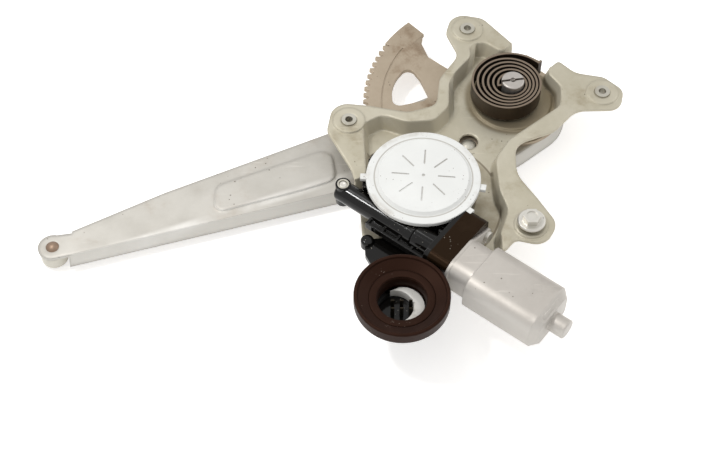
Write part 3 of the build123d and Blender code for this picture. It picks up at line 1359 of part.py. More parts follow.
with BuildPart() as connector_housing:
    with BuildSketch(Plane.XY.offset(CONNECTOR_BOTTOM)):
        with Locations(CONNECTOR_CENTRE):
            Circle(CONNECTOR_RADIUS)
    extrude(amount=CONNECTOR_TOP - CONNECTOR_BOTTOM)
    with BuildSketch(Plane.XY.offset(CONNECTOR_BOTTOM)):
        with BuildLine():
            Polyline(*CONNECTOR_ARM, close=True)
        make_face()
    extrude(amount=SEAL_NECK_BOTTOM - GAP - CONNECTOR_BOTTOM)
    # bracket below the worm tube, with a rounded hook at its corner
    with BuildSketch(Plane.XY.offset(CONNECTOR_BOTTOM)):
        with BuildLine():
            rounded_outline(BRACKET)
        make_face()
    extrude(amount=BRACKET_TOP - CONNECTOR_BOTTOM)
    with BuildSketch(Plane.XY.offset(CONNECTOR_BOTTOM)):
        with Locations(HOOK):
            Circle(HOOK_RADIUS)
    extrude(amount=BRACKET_TOP + HOOK_RISE - CONNECTOR_BOTTOM)
    hook_edge = connector_housing.edges().filter_by(GeomType.CIRCLE).filter_by_position(
        Axis.Z, BRACKET_TOP + HOOK_RISE - 0.1, BRACKET_TOP + HOOK_RISE + 0.1
    )
    fillet(hook_edge, radius=0.6 * HOOK_RISE)
    with BuildSketch(Plane.XY.offset(CONNECTOR_BOTTOM + CONNECTOR_FLOOR)):
        with Locations(CONNECTOR_CENTRE):
            Circle(CONNECTOR_RADIUS - CONNECTOR_WALL)
    extrude(amount=30, mode=Mode.SUBTRACT)

save(connector_housing.part, "connector_housing")

with BuildPart() as connector_seal:
    # a raised edge, a funnel down to the opening, and a neck round the socket
    with BuildSketch(Plane(origin=(*CONNECTOR_CENTRE, 0), x_dir=(1, 0, 0), z_dir=(0, -1, 0))):
        with BuildLine():
            rounded_outline(
                [
                    (SEAL_OPENING, SEAL_NECK_BOTTOM, 0.3),
                    (SEAL_NECK, SEAL_NECK_BOTTOM, 0.6),
                    (SEAL_NECK, SEAL_BOTTOM, 0.6),
                    (SEAL_RADIUS, SEAL_BOTTOM, 2.0),
                    (SEAL_RADIUS, SEAL_TOP, 0.9),
                    (SEAL_RADIUS - LIP_WIDTH, SEAL_TOP, 0.6),
                    (SEAL_RADIUS - LIP_WIDTH - 0.4, SEAL_TOP - LIP_RISE, 0.4),
                    (SEAL_OPENING + 2.0, SEAL_TOP - LIP_RISE - FUNNEL_DROP, 1.5),
                    (SEAL_OPENING, SEAL_TOP - LIP_RISE - FUNNEL_DROP - 1.5, 0.6),
                ]
            )
        make_face()
    revolve(axis=Axis((*CONNECTOR_CENTRE, 0), (0, 0, 1)))

save(connector_seal.part, "connector_seal")

with BuildPart() as connector_terminals:
    with BuildSketch(Plane.XY.offset(CONNECTOR_BOTTOM + CONNECTOR_FLOOR)):
        with Locations(CONNECTOR_CENTRE):
            with GridLocations(TERMINAL_SPACING, TERMINAL_SPACING, 3, 2):
                Rectangle(2.2, 0.8)
    extrude(amount=TERMINAL_LENGTH)

save(connector_terminals.part, "connector_terminals")

with BuildPart() as connector_insert:
    with BuildSketch(Plane.XY.offset(CONNECTOR_BOTTOM + CONNECTOR_FLOOR)):
        with Locations(CONNECTOR_CENTRE):
            Circle(INSERT_RADIUS)
            with Locations(INSERT_SHIFT):
                Circle(INSERT_RADIUS - INSERT_WALL, mode=Mode.SUBTRACT)
    extrude(amount=INSERT_HEIGHT)

save(connector_insert.part, "connector_insert")
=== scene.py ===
# %% [markdown]
# # A window regulator on a white table
#
# The part is a stamped plate with a gear motor, a toothed sector, a lift arm and a clock spring.
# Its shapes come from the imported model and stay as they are. This lesson gives every piece its
# finish: zinc, black and white mouldings, oiled spring steel and rubber. It adds six small pieces
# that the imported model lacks. Then it sets up the table, the light and the camera.

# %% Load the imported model
import json
from math import cos, radians, sin

import bmesh
import bpy
from mathutils import Matrix, Vector


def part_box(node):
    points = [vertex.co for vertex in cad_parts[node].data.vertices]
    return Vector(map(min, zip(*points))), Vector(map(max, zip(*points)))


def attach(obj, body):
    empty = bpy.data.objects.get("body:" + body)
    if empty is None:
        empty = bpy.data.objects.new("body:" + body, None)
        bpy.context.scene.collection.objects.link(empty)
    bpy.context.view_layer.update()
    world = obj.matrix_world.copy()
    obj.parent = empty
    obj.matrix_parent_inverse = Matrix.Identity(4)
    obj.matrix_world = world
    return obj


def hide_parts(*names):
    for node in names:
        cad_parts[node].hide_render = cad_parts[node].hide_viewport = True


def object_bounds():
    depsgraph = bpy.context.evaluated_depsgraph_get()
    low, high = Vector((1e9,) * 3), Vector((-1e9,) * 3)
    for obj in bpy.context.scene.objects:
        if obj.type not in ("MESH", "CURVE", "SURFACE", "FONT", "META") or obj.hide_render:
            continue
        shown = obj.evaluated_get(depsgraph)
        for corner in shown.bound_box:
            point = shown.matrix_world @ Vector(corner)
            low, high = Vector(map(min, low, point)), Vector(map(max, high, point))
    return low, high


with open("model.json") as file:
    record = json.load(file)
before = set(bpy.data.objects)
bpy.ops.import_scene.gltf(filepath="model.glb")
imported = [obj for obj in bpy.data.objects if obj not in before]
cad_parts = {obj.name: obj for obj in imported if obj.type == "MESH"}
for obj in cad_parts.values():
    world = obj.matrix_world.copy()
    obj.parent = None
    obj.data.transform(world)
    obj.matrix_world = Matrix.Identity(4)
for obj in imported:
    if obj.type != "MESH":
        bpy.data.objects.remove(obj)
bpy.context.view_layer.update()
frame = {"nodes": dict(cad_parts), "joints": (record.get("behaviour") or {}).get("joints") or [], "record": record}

MM = 0.001

# %% [markdown]
# ## Shared effects
#
# Zinc, plastic and rubber all age in the same few ways: a cloudy bloom, rubbed scratches, small
# specks of dirt, and edges that are dirtier than the faces, or paler from wear and, on zinc, partly
# from a painted highlight. Each could be built again in every material. A node group is the better
# way, because it is built once and each material then uses it with its own values. All patterns read
# Object coordinates, so they stay on the piece when it moves. The first cells hold small helpers,
# which make a node or a sum of nodes in one line.

# %% Helpers that make nodes and groups
VALUE, VECTOR = "NodeSocketFloat", "NodeSocketVector"


def new_group(name, inputs, outputs):
    """A shader node group with named float inputs and float or vector outputs."""
    group = bpy.data.node_groups.new(name, "ShaderNodeTree")
    for label, value in inputs:
        socket = group.interface.new_socket(label, in_out="INPUT", socket_type="NodeSocketFloat")
        socket.default_value = value
    for label, kind in outputs:
        group.interface.new_socket(label, in_out="OUTPUT", socket_type=kind)
    return group, group.nodes.new("NodeGroupInput"), group.nodes.new("NodeGroupOutput")


def use_group(tree, group):
    """A node that stands for a group."""
    made = tree.nodes.new("ShaderNodeGroup")
    made.node_tree = group
    return made


def node(tree, kind, **values):
    """A node with its properties and named input values set."""
    made = tree.nodes.new(kind)
    for key, value in values.items():
        if key in made.inputs:
            made.inputs[key].default_value = value
        else:
            setattr(made, key, value)
    return made


def feed(tree, value, target):
    """Gives an input its value: a link from a socket, or a plain number or colour."""
    if isinstance(value, bpy.types.NodeSocket):
        tree.links.new(value, target)
    else:
        target.default_value = value


# %% Helpers that work on numbers


def math_node(tree, operation, first, second=0.0, clamp=False):
    """A Math node. Each operand is a socket or a number."""
    made = node(tree, "ShaderNodeMath", operation=operation, use_clamp=clamp)
    feed(tree, first, made.inputs[0])
    feed(tree, second, made.inputs[1])
    return made.outputs[0]


def between(tree, value, low, high):
    """A soft threshold, from 0 at low to 1 at high. Low may be the larger of the two."""
    made = node(tree, "ShaderNodeMapRange", interpolation_type="SMOOTHSTEP")
    made.inputs["From Min"].default_value = low
    made.inputs["From Max"].default_value = high
    tree.links.new(value, made.inputs["Value"])
    return made.outputs["Result"]


def noise(tree, vector, scale, detail=4.0, roughness=0.55):
    """Soft noise, with a socket or a number for its scale."""
    made = node(tree, "ShaderNodeTexNoise", Detail=detail, Roughness=roughness)
    tree.links.new(vector, made.inputs["Vector"])
    feed(tree, scale, made.inputs["Scale"])
    return made.outputs[0]


def object_place(tree):
    """Each point's place on its own piece."""
    return tree.nodes.new("ShaderNodeTexCoord").outputs["Object"]


# %% [markdown]
# ## Bloom
#
# A zinc coat is cloudy, and close by it shows small crystals, each of its own grey. With an image of
# such a coat, every piece would have to be unwrapped. Noise gives the clouds and a Voronoi pattern
# the crystals, at any size. Mouldings and rubber use the same clouds, faintly, for their bloom.

# %% Bloom: clouds and crystals
CLOUD_LOW, CLOUD_HIGH = 0.33, 0.68


def bloom_group():
    group, source, result = new_group(
        "Zinc Bloom",
        [("Cloud Scale", 22.0), ("Grain Scale", 420.0)],
        [("Cloud", VALUE), ("Grain", VALUE)],
    )
    place = object_place(group)
    cloud = noise(group, place, source.outputs["Cloud Scale"], detail=6.0, roughness=0.6)
    group.links.new(between(group, cloud, CLOUD_LOW, CLOUD_HIGH), result.inputs["Cloud"])
    crystals = node(group, "ShaderNodeTexVoronoi", feature="F1", Randomness=1.0)
    group.links.new(place, crystals.inputs["Vector"])
    group.links.new(source.outputs["Grain Scale"], crystals.inputs["Scale"])
    grey = group.nodes.new("ShaderNodeRGBToBW")
    group.links.new(crystals.outputs["Color"], grey.inputs[0])
    group.links.new(grey.outputs[0], result.inputs["Grain"])
    return group


def outputs_of(group):
    """The names of what a group puts out."""
    return [item.name for item in group.interface.items_tree if item.in_out == "OUTPUT"]


BLOOM = bloom_group()
print("group", BLOOM.name, "gives", outputs_of(BLOOM))

# %% [markdown]
# ## Handling marks
#
# A used part has fine scratches that run mostly one way, stains with ragged edges, and specks of dirt
# in patches. Scratches could be drawn as curves, but there are hundreds. Noise that is squeezed along
# one axis breaks into long lines, and two layers turned against each other look like real handling.

# %% Marks: scratches, stains and specks of dirt
SCRATCH_RUNS = ((25, 14.0), (-50, 20.0))  # degrees, and how many times longer than wide
SPECK_RADIUS = 0.13  # as a part of a pattern cell


def patches(group, place, scale, low, high):
    """Soft islands, to keep marks from covering everything."""
    return between(group, noise(group, place, scale, detail=2.0), low, high)


def marks_group():
    group, source, result = new_group(
        "Handling Marks",
        [("Scratch Scale", 30.0), ("Speck Scale", 260.0)],
        [("Scratch", VALUE), ("Stain", VALUE), ("Speck", VALUE)],
    )
    place = object_place(group)
    runs = []
    for turn, stretch in SCRATCH_RUNS:
        turned = node(group, "ShaderNodeMapping")
        turned.inputs["Rotation"].default_value = (0, 0, radians(turn))
        turned.inputs["Scale"].default_value = (1.0, stretch, 1.0)
        group.links.new(place, turned.inputs["Vector"])
        lines = noise(group, turned.outputs[0], source.outputs["Scratch Scale"], detail=3.0, roughness=0.5)
        runs.append(between(group, lines, low=0.66, high=0.72))
    scratch = math_node(group, "MAXIMUM", runs[0], runs[1])
    rubbed_and_sheen = patches(group, place, scale=17.0, low=0.45, high=0.6)
    group.links.new(math_node(group, "MULTIPLY", scratch, rubbed_and_sheen), result.inputs["Scratch"])
    ragged = noise(group, place, 34.0, detail=7.0, roughness=0.68)
    group.links.new(between(group, ragged, low=0.5, high=0.72), result.inputs["Stain"])
    dots = node(group, "ShaderNodeTexVoronoi", feature="F1", Randomness=1.0)
    group.links.new(place, dots.inputs["Vector"])
    group.links.new(source.outputs["Speck Scale"], dots.inputs["Scale"])
    near = math_node(group, "LESS_THAN", dots.outputs["Distance"], SPECK_RADIUS)
    dusty = patches(group, place, scale=60.0, low=0.55, high=0.62)
    group.links.new(math_node(group, "MULTIPLY", near, dusty), result.inputs["Speck"])
    return group


MARKS = marks_group()
print("group", MARKS.name, "gives", outputs_of(MARKS))

# %% [markdown]
# ## Edges
#
# No stamped or moulded edge is perfectly sharp. A Bevel node rounds the shading over a fraction of a
# millimetre without changing the mesh. Where the rounded normal and the true one disagree there is
# an edge, and that disagreement is also a mask for rubbed metal or gathered dirt, and on zinc partly
# for a painted highlight.

# %% Edges: a rounded normal and an edge mask
BEVEL_SAMPLES = 6
EDGE_LOW, EDGE_HIGH = 0.02, 0.22  # 1 minus the cosine between the two normals


def edges_group():
    group, source, result = new_group(
        "Soft Edges", [("Radius", 0.5 * MM)], [("Normal", VECTOR), ("Edge", VALUE)]
    )
    rounded = node(group, "ShaderNodeBevel", samples=BEVEL_SAMPLES)
    group.links.new(source.outputs["Radius"], rounded.inputs["Radius"])
    true = group.nodes.new("ShaderNodeNewGeometry")
    dot = node(group, "ShaderNodeVectorMath", operation="DOT_PRODUCT")
    group.links.new(rounded.outputs[0], dot.inputs[0])
    group.links.new(true.outputs["Normal"], dot.inputs[1])
    turned = math_node(group, "SUBTRACT", 1.0, dot.outputs["Value"])
    group.links.new(between(group, turned, EDGE_LOW, EDGE_HIGH), result.inputs["Edge"])
    group.links.new(rounded.outputs[0], result.inputs["Normal"])
    return group


EDGES = edges_group()
print("group", EDGES.name, "gives", outputs_of(EDGES))

# %% [markdown]
# ## Dirt that lies in one place
#
# Dirt gathers where the part is shaped for it: round the lid's rim, in its creases, in a ring on the
# plate round the gear box. Painting it by hand would need a texture. Measuring each point's distance
# from an upright axis, and its height, is better, because the mask then follows from the part's own
# dimensions.

# %% Distance from an upright axis, and height


def place_group():
    group, source, result = new_group(
        "Place On Part", [("Axis X", 0.0), ("Axis Y", 0.0)], [("Distance", VALUE), ("Height", VALUE)]
    )
    parts = group.nodes.new("ShaderNodeSeparateXYZ")
    group.links.new(object_place(group), parts.inputs[0])
    squares = []
    for axis, label in enumerate(("Axis X", "Axis Y")):
        away = math_node(group, "SUBTRACT", parts.outputs[axis], source.outputs[label])
        squares.append(math_node(group, "MULTIPLY", away, away))
    distance = math_node(group, "SQRT", math_node(group, "ADD", squares[0], squares[1]))
    group.links.new(distance, result.inputs["Distance"])
    group.links.new(parts.outputs["Z"], result.inputs["Height"])
    return group


PLACE = place_group()
print("group", PLACE.name, "gives", outputs_of(PLACE))

# %% Where the part's axes stand


def joint(name):
    """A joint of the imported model."""
    return next(entry for entry in frame["joints"] if entry["name"] == name)


PIVOT = joint("arm_lift")["pos_m"]
WHEEL = joint("wheel_turn")["pos_m"]
print("pivot", PIVOT, "wheel", WHEEL)

# %% [markdown]
# ## Masks
#
# A mask is a number from 0 to 1 at each point that says where a tone lies. Each of these follows from
# the piece's own shape: a ring between two distances, a streak along a line, or the upright walls as
# against the level faces. An image could hold the same, but it would have to be unwrapped and drawn.

# %% Masks made from places and directions


def places(tree, axis):
    """Distance from an upright axis, and height, at each point."""
    made = use_group(tree, PLACE)
    made.inputs["Axis X"].default_value = axis[0]
    made.inputs["Axis Y"].default_value = axis[1]
    return made.outputs["Distance"], made.outputs["Height"]


def both(tree, first, second):
    """A mask that is bright only where two others are."""
    return math_node(tree, "MULTIPLY", first, second)


def band(tree, value, low, high, soft):
    """A mask that is 1 between two values and fades out over a soft edge."""
    return both(tree, between(tree, value, low - soft, low), between(tree, value, high + soft, high))


def streak(tree, start, end, half, soft):
    """A mask for a soft streak along the line through two places, seen from above."""
    run, rise = end[0] - start[0], end[1] - start[1]
    length = (run * run + rise * rise) ** 0.5
    dot = node(tree, "ShaderNodeVectorMath", operation="DOT_PRODUCT")
    tree.links.new(object_place(tree), dot.inputs[0])
    dot.inputs[1].default_value = (-rise / length, run / length, 0)
    offset = (run * start[1] - rise * start[0]) / length
    away = math_node(tree, "ABSOLUTE", math_node(tree, "SUBTRACT", dot.outputs["Value"], offset))
    return between(tree, away, half + soft, half)


WALL_LOW, WALL_HIGH = 0.9, 0.45  # how far the normal points up, for no wall and for a full wall


def walls(tree):
    """A mask that is 1 on upright walls and 0 on level faces."""
    parts = tree.nodes.new("ShaderNodeSeparateXYZ")
    tree.links.new(tree.nodes.new("ShaderNodeTexCoord").outputs["Normal"], parts.inputs[0])
    return between(tree, math_node(tree, "ABSOLUTE", parts.outputs["Z"]), WALL_LOW, WALL_HIGH)


# %% [markdown]
# ## A starting material
#
# Every finish here needs the same beginning: a Principled BSDF, the three groups, a base colour that
# is blended towards other tones by their masks, and a bump. Each material could be wired by hand. A
# helper makes that beginning instead, and each finish then only says what is its own.

# %% The starting material
WHITE = (1.0, 1.0, 1.0)
BUMP_DISTANCE = 0.1 * MM
MIX_A, MIX_B, MIX_RESULT = 6, 7, 2  # a Mix node's sockets for colours, among those for other data


class Finish:
    """A Principled material whose colour, roughness and bump are built up in layers."""

    def __init__(self, name, colour, roughness, metallic, edge_radius):
        self.material = bpy.data.materials.new(name)
        self.material.use_nodes = True
        self.tree = self.material.node_tree
        self.shader = self.tree.nodes["Principled BSDF"]
        self.shader.inputs["Metallic"].default_value = metallic
        bloom, self.marks = use_group(self.tree, BLOOM), use_group(self.tree, MARKS)
        self.cloud, self.grain = bloom.outputs["Cloud"], bloom.outputs["Grain"]
        self.scratch = self.marks.outputs["Scratch"]
        self.stain = self.marks.outputs["Stain"]
        self.speck = self.marks.outputs["Speck"]
        self.edges = use_group(self.tree, EDGES)
        self.edges.inputs["Radius"].default_value = edge_radius
        self.colour = (*colour, 1.0)
        self.rough = roughness
        self.height = None

    def tint(self, mask, colour, amount):
        """Blends the colour so far towards another one where the mask is bright."""
        mix = node(self.tree, "ShaderNodeMix", data_type="RGBA")
        factor = math_node(self.tree, "MULTIPLY", mask, amount, clamp=True)
        self.tree.links.new(factor, mix.inputs["Factor"])
        feed(self.tree, self.colour, mix.inputs[MIX_A])
        mix.inputs[MIX_B].default_value = (*colour, 1.0)
        self.colour = mix.outputs[MIX_RESULT]

    def gloss(self, mask, change):
        """Adds a change of roughness where the mask is bright."""
        more = math_node(self.tree, "MULTIPLY", mask, change)
        self.rough = math_node(self.tree, "ADD", more, self.rough, clamp=True)

    def relief(self, mask, amount):
        """Adds to the height that the bump reads."""
        step = math_node(self.tree, "MULTIPLY", mask, amount)
        self.height = step if self.height is None else math_node(self.tree, "ADD", self.height, step)

    def paint_light_on_walls(self, colour, amount, less_metal):
        """Paints upright walls of thin sheet paler, as if lit, to lift their shade, and makes them mirror less."""
        mask = walls(self.tree)
        # Painted light: the walls are tinted paler, as if lit, to lift the shade on them.
        self.tint(mask, colour, amount)
        metal = self.shader.inputs["Metallic"]
        less = math_node(self.tree, "MULTIPLY", mask, -less_metal)
        feed(self.tree, math_node(self.tree, "ADD", less, metal.default_value, clamp=True), metal)

    def done(self, bump, specular=0.5, mirror=WHITE):
        """Joins the layers to the shader. The mirror is the tint of what the surface reflects."""
        links, inputs = self.tree.links, self.shader.inputs
        links.new(self.colour, inputs["Base Color"])
        links.new(self.rough, inputs["Roughness"])
        inputs["Specular IOR Level"].default_value = specular
        inputs["Specular Tint"].default_value = (*mirror, 1.0)
        made = node(self.tree, "ShaderNodeBump", Strength=bump, Distance=BUMP_DISTANCE)
        links.new(self.height, made.inputs["Height"])
        links.new(self.edges.outputs["Normal"], made.inputs["Normal"])
        links.new(made.outputs[0], inputs["Normal"])
        return self.material


def scaled(colour, factor):
    """A colour made brighter or darker, and never brighter than 1."""
    return tuple(min(1.0, factor * c) for c in colour)


finishes = {}

# %% [markdown]
# ## Zinc and steel
#
# The plate, arm, sector and motor can are galvanised sheet: a metal with a soft, cloudy reflection
# and a yellowish stain where grease has crept. The bolt is brighter, and the socket's terminals are
# painted nearly black, for the shade deep in the socket. Each could be wired by itself. One function
# makes them all from a clean tone, a dull tone and a stain, so they belong together.

# %% Zinc
ZINC_METAL, ZINC_BUMP, GRAIN_AMOUNT = 0.85, 0.25, 0.12
ZINC_SPECK = (0.10, 0.08, 0.06)


def zinc_start(name, clean, dull, stain, roughness, stained=0.5, edge_radius=0.5 * MM):
    """The layers that all zinc shares. The stained amount says how strong the stains are."""
    made = Finish(name, clean, roughness, metallic=ZINC_METAL, edge_radius=edge_radius)
    made.tint(made.cloud, dull, 0.6)
    made.tint(made.grain, dull, GRAIN_AMOUNT)
    made.tint(made.stain, stain, stained)
    made.tint(made.scratch, scaled(clean, 1.25), 0.5)
    made.tint(made.speck, ZINC_SPECK, 0.75)
    # Paler edges: worn zinc, and partly a painted highlight along the bends and rims.
    made.tint(made.edges.outputs["Edge"], scaled(clean, 1.2), 0.35)
    made.gloss(made.cloud, 0.14)
    made.gloss(made.stain, 0.12)
    made.relief(made.grain, 0.25)
    made.relief(made.cloud, 0.6)
    made.relief(made.scratch, -0.4)
    return made


def zinc(*tones, **values):
    """Zinc with the shared layers alone."""
    return zinc_start(*tones, **values).done(bump=ZINC_BUMP)


finishes["sector_zinc"] = zinc(
    "sector zinc", (0.43, 0.36, 0.275), (0.32, 0.26, 0.19), (0.19, 0.12, 0.065),
    roughness=0.48, stained=0.7,
)
finishes["nut_zinc"] = zinc(
    "nut zinc", (0.50, 0.48, 0.42), (0.38, 0.36, 0.30), (0.28, 0.23, 0.17),
    roughness=0.4, stained=0.5,
)
finishes["bolt_zinc"] = zinc(
    "bolt zinc", (0.66, 0.64, 0.59), (0.54, 0.52, 0.47), (0.36, 0.32, 0.26),
    roughness=0.3, stained=0.3,
)
finishes["shaft_steel"] = zinc(
    "turned steel", (0.46, 0.43, 0.40), (0.35, 0.32, 0.29), (0.24, 0.19, 0.14),
    roughness=0.38, stained=0.4,
)
# Painted shade: the terminals are nearly black, for the shade deep inside the socket.
finishes["terminal_tin"] = zinc(
    "tinned brass", (0.03, 0.024, 0.015), (0.02, 0.016, 0.01), (0.012, 0.009, 0.006),
    roughness=0.5, stained=0.4,
)
print("zinc finishes", len(finishes))

# %% [markdown]
# ## The plate's coat
#
# On the plate, old grease lies in a ring round the gear box and in a smaller ring round the spring,
# and a thin line of painted shade, in place of a shallow groove, runs at the dish's foot. Only the
# floor of the dish holds them. The bent walls are painted paler, as if lit, to lift their shade, and
# they are less of a mirror.

# %% The plate
FLOOR_START, FLOOR_FULL = -6 * MM, -10 * MM
BOX_RING = (30 * MM, 49 * MM, 3 * MM)  # inner and outer radius, and how softly the ring ends
GROOVE_SHADE_RING = (50.2 * MM, 51.0 * MM, 0.5 * MM)
SPRING_RING = (20 * MM, 29 * MM, 4 * MM)
BOX_GREASE, GROOVE_SHADE, SPRING_GREASE = (0.20, 0.15, 0.08), (0.10, 0.07, 0.04), (0.18, 0.135, 0.07)


def plate_zinc():
    """The plate's coat, with old grease round the gear box and round the spring."""
    made = zinc_start(
        "plate zinc", (0.53, 0.495, 0.40), (0.41, 0.375, 0.285), (0.27, 0.215, 0.13),
        roughness=0.44, edge_radius=2.2 * MM,
    )
    tree = made.tree
    # Painted light on the plate's bent walls, paler as if lit.
    made.paint_light_on_walls((0.66, 0.61, 0.48), amount=0.8, less_metal=0.5)
    away, height = places(tree, WHEEL)
    floor = between(tree, height, FLOOR_START, FLOOR_FULL)
    grease = both(tree, band(tree, away, *BOX_RING), floor)
    made.tint(both(tree, grease, made.cloud), BOX_GREASE, 0.75)
    # Painted shade: a thin dark line on the floor at the dish's foot, in place of a shallow groove.
    made.tint(both(tree, band(tree, away, *GROOVE_SHADE_RING), floor), GROOVE_SHADE, 0.6)
    round_spring, _ = places(tree, PIVOT)
    made.tint(both(tree, band(tree, round_spring, *SPRING_RING), floor), SPRING_GREASE, 0.7)
    return made.done(bump=ZINC_BUMP)


finishes["plate_zinc"] = plate_zinc()
print("grease reaches", BOX_RING[1], "m round the gear box and", SPRING_RING[1], "m round the pivot")

# %% [markdown]
# ## The arm and the motor can
#
# Both have a greyer coat than the plate, and a painted highlight runs as a soft pale streak along the
# arm. The streak could be a painted image, but a distance from the line through two places gives it
# in a few nodes. Walls painted paler, as if lit, keep the shade of the arm's pressed panel faint.

# %% The arm and the motor can
PAINTED_HIGHLIGHT_START, PAINTED_HIGHLIGHT_END = (-82 * MM, -63 * MM), (-20 * MM, -39 * MM)
PAINTED_HIGHLIGHT_HALF, PAINTED_HIGHLIGHT_SOFT = 1.2 * MM, 3.5 * MM


def arm_zinc():
    """The arm's grey coat, with a painted highlight streak and walls painted paler as if lit."""
    made = zinc_start(
        "arm zinc", (0.50, 0.48, 0.44), (0.43, 0.41, 0.37), (0.40, 0.335, 0.27),
        roughness=0.5, stained=0.4, edge_radius=3.5 * MM,
    )
    # Painted light on the arm's walls, which keeps the shade of its pressed panel faint.
    made.paint_light_on_walls((0.68, 0.66, 0.61), amount=0.9, less_metal=0.6)
    # Painted highlight: a pale streak along the arm, where its rounded crease would catch the light.
    rubbed_and_sheen = streak(made.tree, PAINTED_HIGHLIGHT_START, PAINTED_HIGHLIGHT_END, PAINTED_HIGHLIGHT_HALF, PAINTED_HIGHLIGHT_SOFT)
    made.tint(both(made.tree, rubbed_and_sheen, made.cloud), (0.80, 0.785, 0.75), 0.75)
    return made.done(bump=ZINC_BUMP)


def yoke_zinc():
    """The drawn can's coat, a little smoother than the plate's."""
    made = zinc_start(
        "yoke zinc", (0.50, 0.47, 0.43), (0.42, 0.39, 0.355), (0.30, 0.275, 0.25),
        roughness=0.42, stained=0.35, edge_radius=1.2 * MM,
    )
    # Painted light on the can's walls, paler as if lit.
    made.paint_light_on_walls((0.60, 0.575, 0.535), amount=0.8, less_metal=0.4)
    return made.done(bump=ZINC_BUMP)


finishes["arm_zinc"] = arm_zinc()
finishes["yoke_zinc"] = yoke_zinc()
print("metal finishes", len(finishes))

# %% [markdown]
# ## Dark and coloured metals
#
# The clock spring is phosphated and oiled: almost black-brown, with a soft sheen painted in a paler
# colour along the cut edges of the strip, which are the level faces of its turns. Those could be
# picked out by hand, but a mask of all that isn't a wall finds them. Copper, bronze, iron and ferrite
# sit inside the motor, and they show when it is taken apart.

# %% Spring steel, browned rivet and the motor's inner metals


def oiled(name, colour, rubbed_and_sheen, roughness=0.34, metallic=0.7, edge=0.6, top=0.0):
    """A dark metal under oil, worn by so much on its edges, with so much painted sheen on its level faces."""
    made = Finish(name, colour, roughness, metallic, edge_radius=0.35 * MM)
    made.tint(made.cloud, scaled(colour, 0.6), 0.7)
    made.tint(made.stain, scaled(colour, 1.5), 0.4)
    made.tint(made.edges.outputs["Edge"], rubbed_and_sheen, edge)
    # Painted sheen: the level faces are tinted paler, as if catching the light.
    made.tint(math_node(made.tree, "SUBTRACT", 1.0, walls(made.tree)), rubbed_and_sheen, top)
    made.gloss(made.cloud, 0.16)
    made.gloss(made.scratch, -0.1)
    made.relief(made.grain, 0.4)
    return made.done(bump=0.15)


# The spring's cut edges, its level faces, get a painted sheen.
finishes["spring_steel"] = oiled(
    "oiled spring steel", (0.05, 0.034, 0.022), (0.30, 0.235, 0.175), edge=0.3, top=0.65
)
finishes["rivet_brown"] = oiled(
    "browned rivet", (0.30, 0.21, 0.15), (0.48, 0.36, 0.28), roughness=0.42
)
finishes["copper"] = oiled(
    "enamelled copper", (0.62, 0.30, 0.16), (0.80, 0.46, 0.28), roughness=0.3, metallic=0.9, edge=0.3
)
finishes["bronze"] = oiled(
    "sintered bronze", (0.44, 0.32, 0.17), (0.62, 0.48, 0.28), roughness=0.4, metallic=0.9, edge=0.4
)
finishes["core_iron"] = oiled(
    "laminated iron", (0.17, 0.17, 0.18), (0.34, 0.34, 0.34), roughness=0.42
)
finishes["ferrite"] = oiled(
    "ferrite", (0.07, 0.07, 0.075), (0.14, 0.14, 0.14), roughness=0.62, metallic=0.0, edge=0.3
)
print("with the dark metals", len(finishes))

# %% [markdown]
# ## Mouldings
#
# The gear box is a glossy black moulding with faint dust, and the brush cover is a dark brown one.
# The roller and the worm wheel are pale nylon and acetal. A dark moulding could be given a plain dark
# colour, but what the eye reads is its mirror, so the gloss and its tint are set for each.

# %% Black, brown and pale mouldings
FINE_SPECKS = 420.0
DUST_SPECK = (0.55, 0.50, 0.42)


def moulded_start(name, colour, dust, roughness, dusted=0.3, speck=DUST_SPECK, specks=0.4):
    """The layers that all mouldings share."""
    made = Finish(name, colour, roughness, metallic=0.0, edge_radius=0.6 * MM)
    made.marks.inputs["Speck Scale"].default_value = FINE_SPECKS
    made.tint(made.cloud, scaled(colour, 0.85), 0.5)
    made.tint(made.stain, dust, dusted)
    made.tint(made.speck, speck, specks)
    made.tint(made.edges.outputs["Edge"], dust, 0.25)
    made.gloss(made.stain, 0.14)
    made.gloss(made.scratch, 0.12)
    made.relief(made.grain, 0.3)
    made.relief(made.scratch, -0.5)
    return made


def moulded(*tones, specular=0.5, mirror=WHITE, **values):
    """A moulding with the shared layers alone."""
    return moulded_start(*tones, **values).done(bump=0.08, specular=specular, mirror=mirror)


finishes["housing_black"] = moulded(
    "black moulding", (0.004, 0.0036, 0.003), (0.03, 0.024, 0.018),
    roughness=0.09, dusted=0.06, specular=0.28,
)
finishes["brush_brown"] = moulded(
    "brown moulding", (0.012, 0.0068, 0.0032), (0.035, 0.022, 0.013),
    roughness=0.26, dusted=0.2, specular=0.14, mirror=(1.0, 0.6, 0.38),
)
finishes["roller_nylon"] = moulded(
    "natural nylon", (0.74, 0.71, 0.62), (0.56, 0.50, 0.40), roughness=0.45
)
finishes["wheel_nylon"] = moulded(
    "natural acetal", (0.80, 0.78, 0.70), (0.62, 0.56, 0.44), roughness=0.4
)
print("with the mouldings", len(finishes))

# %% [markdown]
# ## The white lid
#
# The gear box lid is off-white and scuffed. Painted shade darkens the pressed creases of its plateau,
# a darker line runs round the plateau, dirt lies along the rim, and the skirt is darker low down.
# Each of these is a height or a distance from the lid's axis, so the same two measures make all four
# masks.

# %% The lid
LID_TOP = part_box("gear_cover")[1].z
CREASE_START, CREASE_FULL = LID_TOP - 0.08 * MM, LID_TOP - 0.28 * MM
CREASE_LEAST = 0.1
PLATEAU_END, PLATEAU_FULL = 29 * MM, 27 * MM
LINE_RING = (30.6 * MM, 31.0 * MM, 0.5 * MM)
RIM_START, RIM_FULL = 31.5 * MM, 34.5 * MM
SKIRT_START, SKIRT_FULL = 13.8 * MM, 12.8 * MM
LID_SPECK = (0.14, 0.11, 0.08)


